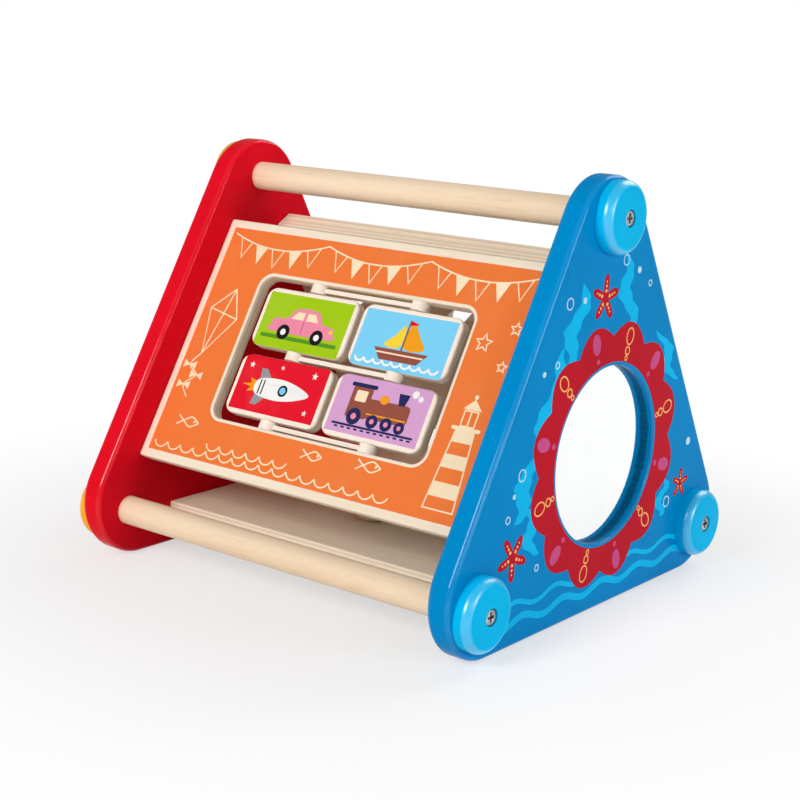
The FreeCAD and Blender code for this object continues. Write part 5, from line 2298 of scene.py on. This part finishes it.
@dataclass
class Studio:
    """Pale floor, soft lamps and a white surround.

    Attributes:
        floor_size: Side of the floor, in metres.
        floor_drop: How far the floor lies below the object, in metres.
        floor_shade: Share of white light that the floor shows as it is, right by the object.
        floor_fade: Distances between which that share grows to 1, in metres.
        surround: Strength of the white light from all round.
        glossy_surround: Strength of the surround as glossy pieces reflect it.
        lamps: The soft lamps.
    """

    floor_size: float = 12.0
    floor_drop: float = 0.0002
    floor_shade: float = 0.58
    floor_fade: tuple[float, float] = (0.12, 0.36)
    surround: float = 0.22
    glossy_surround: float = 0.35
    lamps: tuple[SoftLight, ...] = (
        SoftLight("key light", (-0.1, -1.6, 0.95), 21.0, 0.6),
        SoftLight("side light", (1.7, 0.1, 0.5), 10.5, 0.6),
        SoftLight("edge light", (1.45, -0.8, 0.78), 1.6, 0.2),
        SoftLight("back light", (0.2, 1.4, 1.2), 13.0, 1.0),
    )

    def build(self) -> None:
        """Set up floor, lamps, surround and colour handling."""
        self._floor()
        for lamp in self.lamps:
            lamp.build()
        self._surround()
        bpy.context.scene.view_settings.view_transform = "Standard"

    def _floor(self) -> None:
        """Lay the floor, which takes the object's shadow and fades to white round it."""
        mesh = bpy.data.meshes.new("floor")
        half = self.floor_size / 2
        corners = [(-half, -half), (half, -half), (half, half), (-half, half)]
        mesh.from_pydata([(x, y, -self.floor_drop) for x, y in corners], [], [(0, 1, 2, 3)])
        floor = bpy.data.objects.new("floor", mesh)
        bpy.context.scene.collection.objects.link(floor)
        material = bpy.data.materials.new("studio floor")
        material.use_nodes = True
        graph = Graph(material.node_tree)
        place = graph.value("ShaderNodeTexCoord", "Object")
        shader = material.node_tree.nodes["Principled BSDF"]
        graph.feed(shader, {
            "Base Color": (0.93, 0.93, 0.93, 1.0), "Specular IOR Level": 0.1,
            "Roughness": graph.noise(place, 900.0, 2.0) * 0.02 + 0.50,
        })
        white = graph.value("ShaderNodeEmission", 0, {"Strength": 1.0})
        distance = graph.value("ShaderNodeVectorMath", "Value", {0: place}, operation="LENGTH")
        share = distance.step(*self.floor_fade) * (1.0 - self.floor_shade) + self.floor_shade
        rays = graph.add("ShaderNodeLightPath")
        camera, glossy = (Term(graph, rays.outputs[ray]) for ray in ("Is Camera Ray", "Is Glossy Ray"))
        surface = graph.blend(share * camera.at_least(glossy), Term(graph, shader.outputs[0]), white)
        graph.feed(material.node_tree.nodes["Material Output"], {"Surface": surface})
        mesh.materials.append(material)

    def _surround(self) -> None:
        """Light the scene evenly, and show plain white behind it and in reflections."""
        world = bpy.data.worlds.new("studio")
        world.use_nodes = True
        graph = Graph(world.node_tree)
        light = world.node_tree.nodes["Background"]
        white = (1.0, 1.0, 1.0, 1.0)
        graph.feed(light, {"Color": white, "Strength": self.surround})
        rays = graph.add("ShaderNodeLightPath")
        shader = Term(graph, light.outputs[0])
        for ray, strength in (
            ("Is Glossy Ray", self.glossy_surround), ("Is Transmission Ray", 1.0), ("Is Camera Ray", 1.0),
        ):
            backdrop = graph.value("ShaderNodeBackground", 0, {"Color": white, "Strength": strength})
            shader = graph.blend(Term(graph, rays.outputs[ray]), shader, backdrop)
        graph.feed(world.node_tree.nodes["World Output"], {"Surface": shader})
        bpy.context.scene.world = world


def main() -> None:
    """Build and dress every sub-assembly, then set up the studio."""
    logging.basicConfig(level=logging.INFO, format="%(name)s: %(message)s")
    Camera().build()
    assemblies: list[SubAssembly] = [
        MirrorEnd(),
        RedEnd(),
        Dowels(),
        TileBoard(),
        CarTile("upper_left_tile", Ink.LIME, Ink.PINK, BackPattern.DOTS),
        BoatTile("upper_right_tile", Ink.SKY, Ink.MARIGOLD, BackPattern.STRIPES),
        RocketTile("lower_left_tile", Ink.SCARLET, Ink.WHITE, BackPattern.CHECKS),
        TrainTile("lower_right_tile", Ink.LILAC, Ink.CHESTNUT, BackPattern.ZIGZAGS),
        SliderBoard(),
        BaseBoard(),
    ]
    for assembly in assemblies:
        for piece in assembly.build():
            LOG.info("%s: %d faces", piece.name, len(piece.data.polygons))
        assembly.dress()
        LOG.info("%s dressed", type(assembly).__name__)
    Studio().build()


if __name__ == "__main__":
    main()
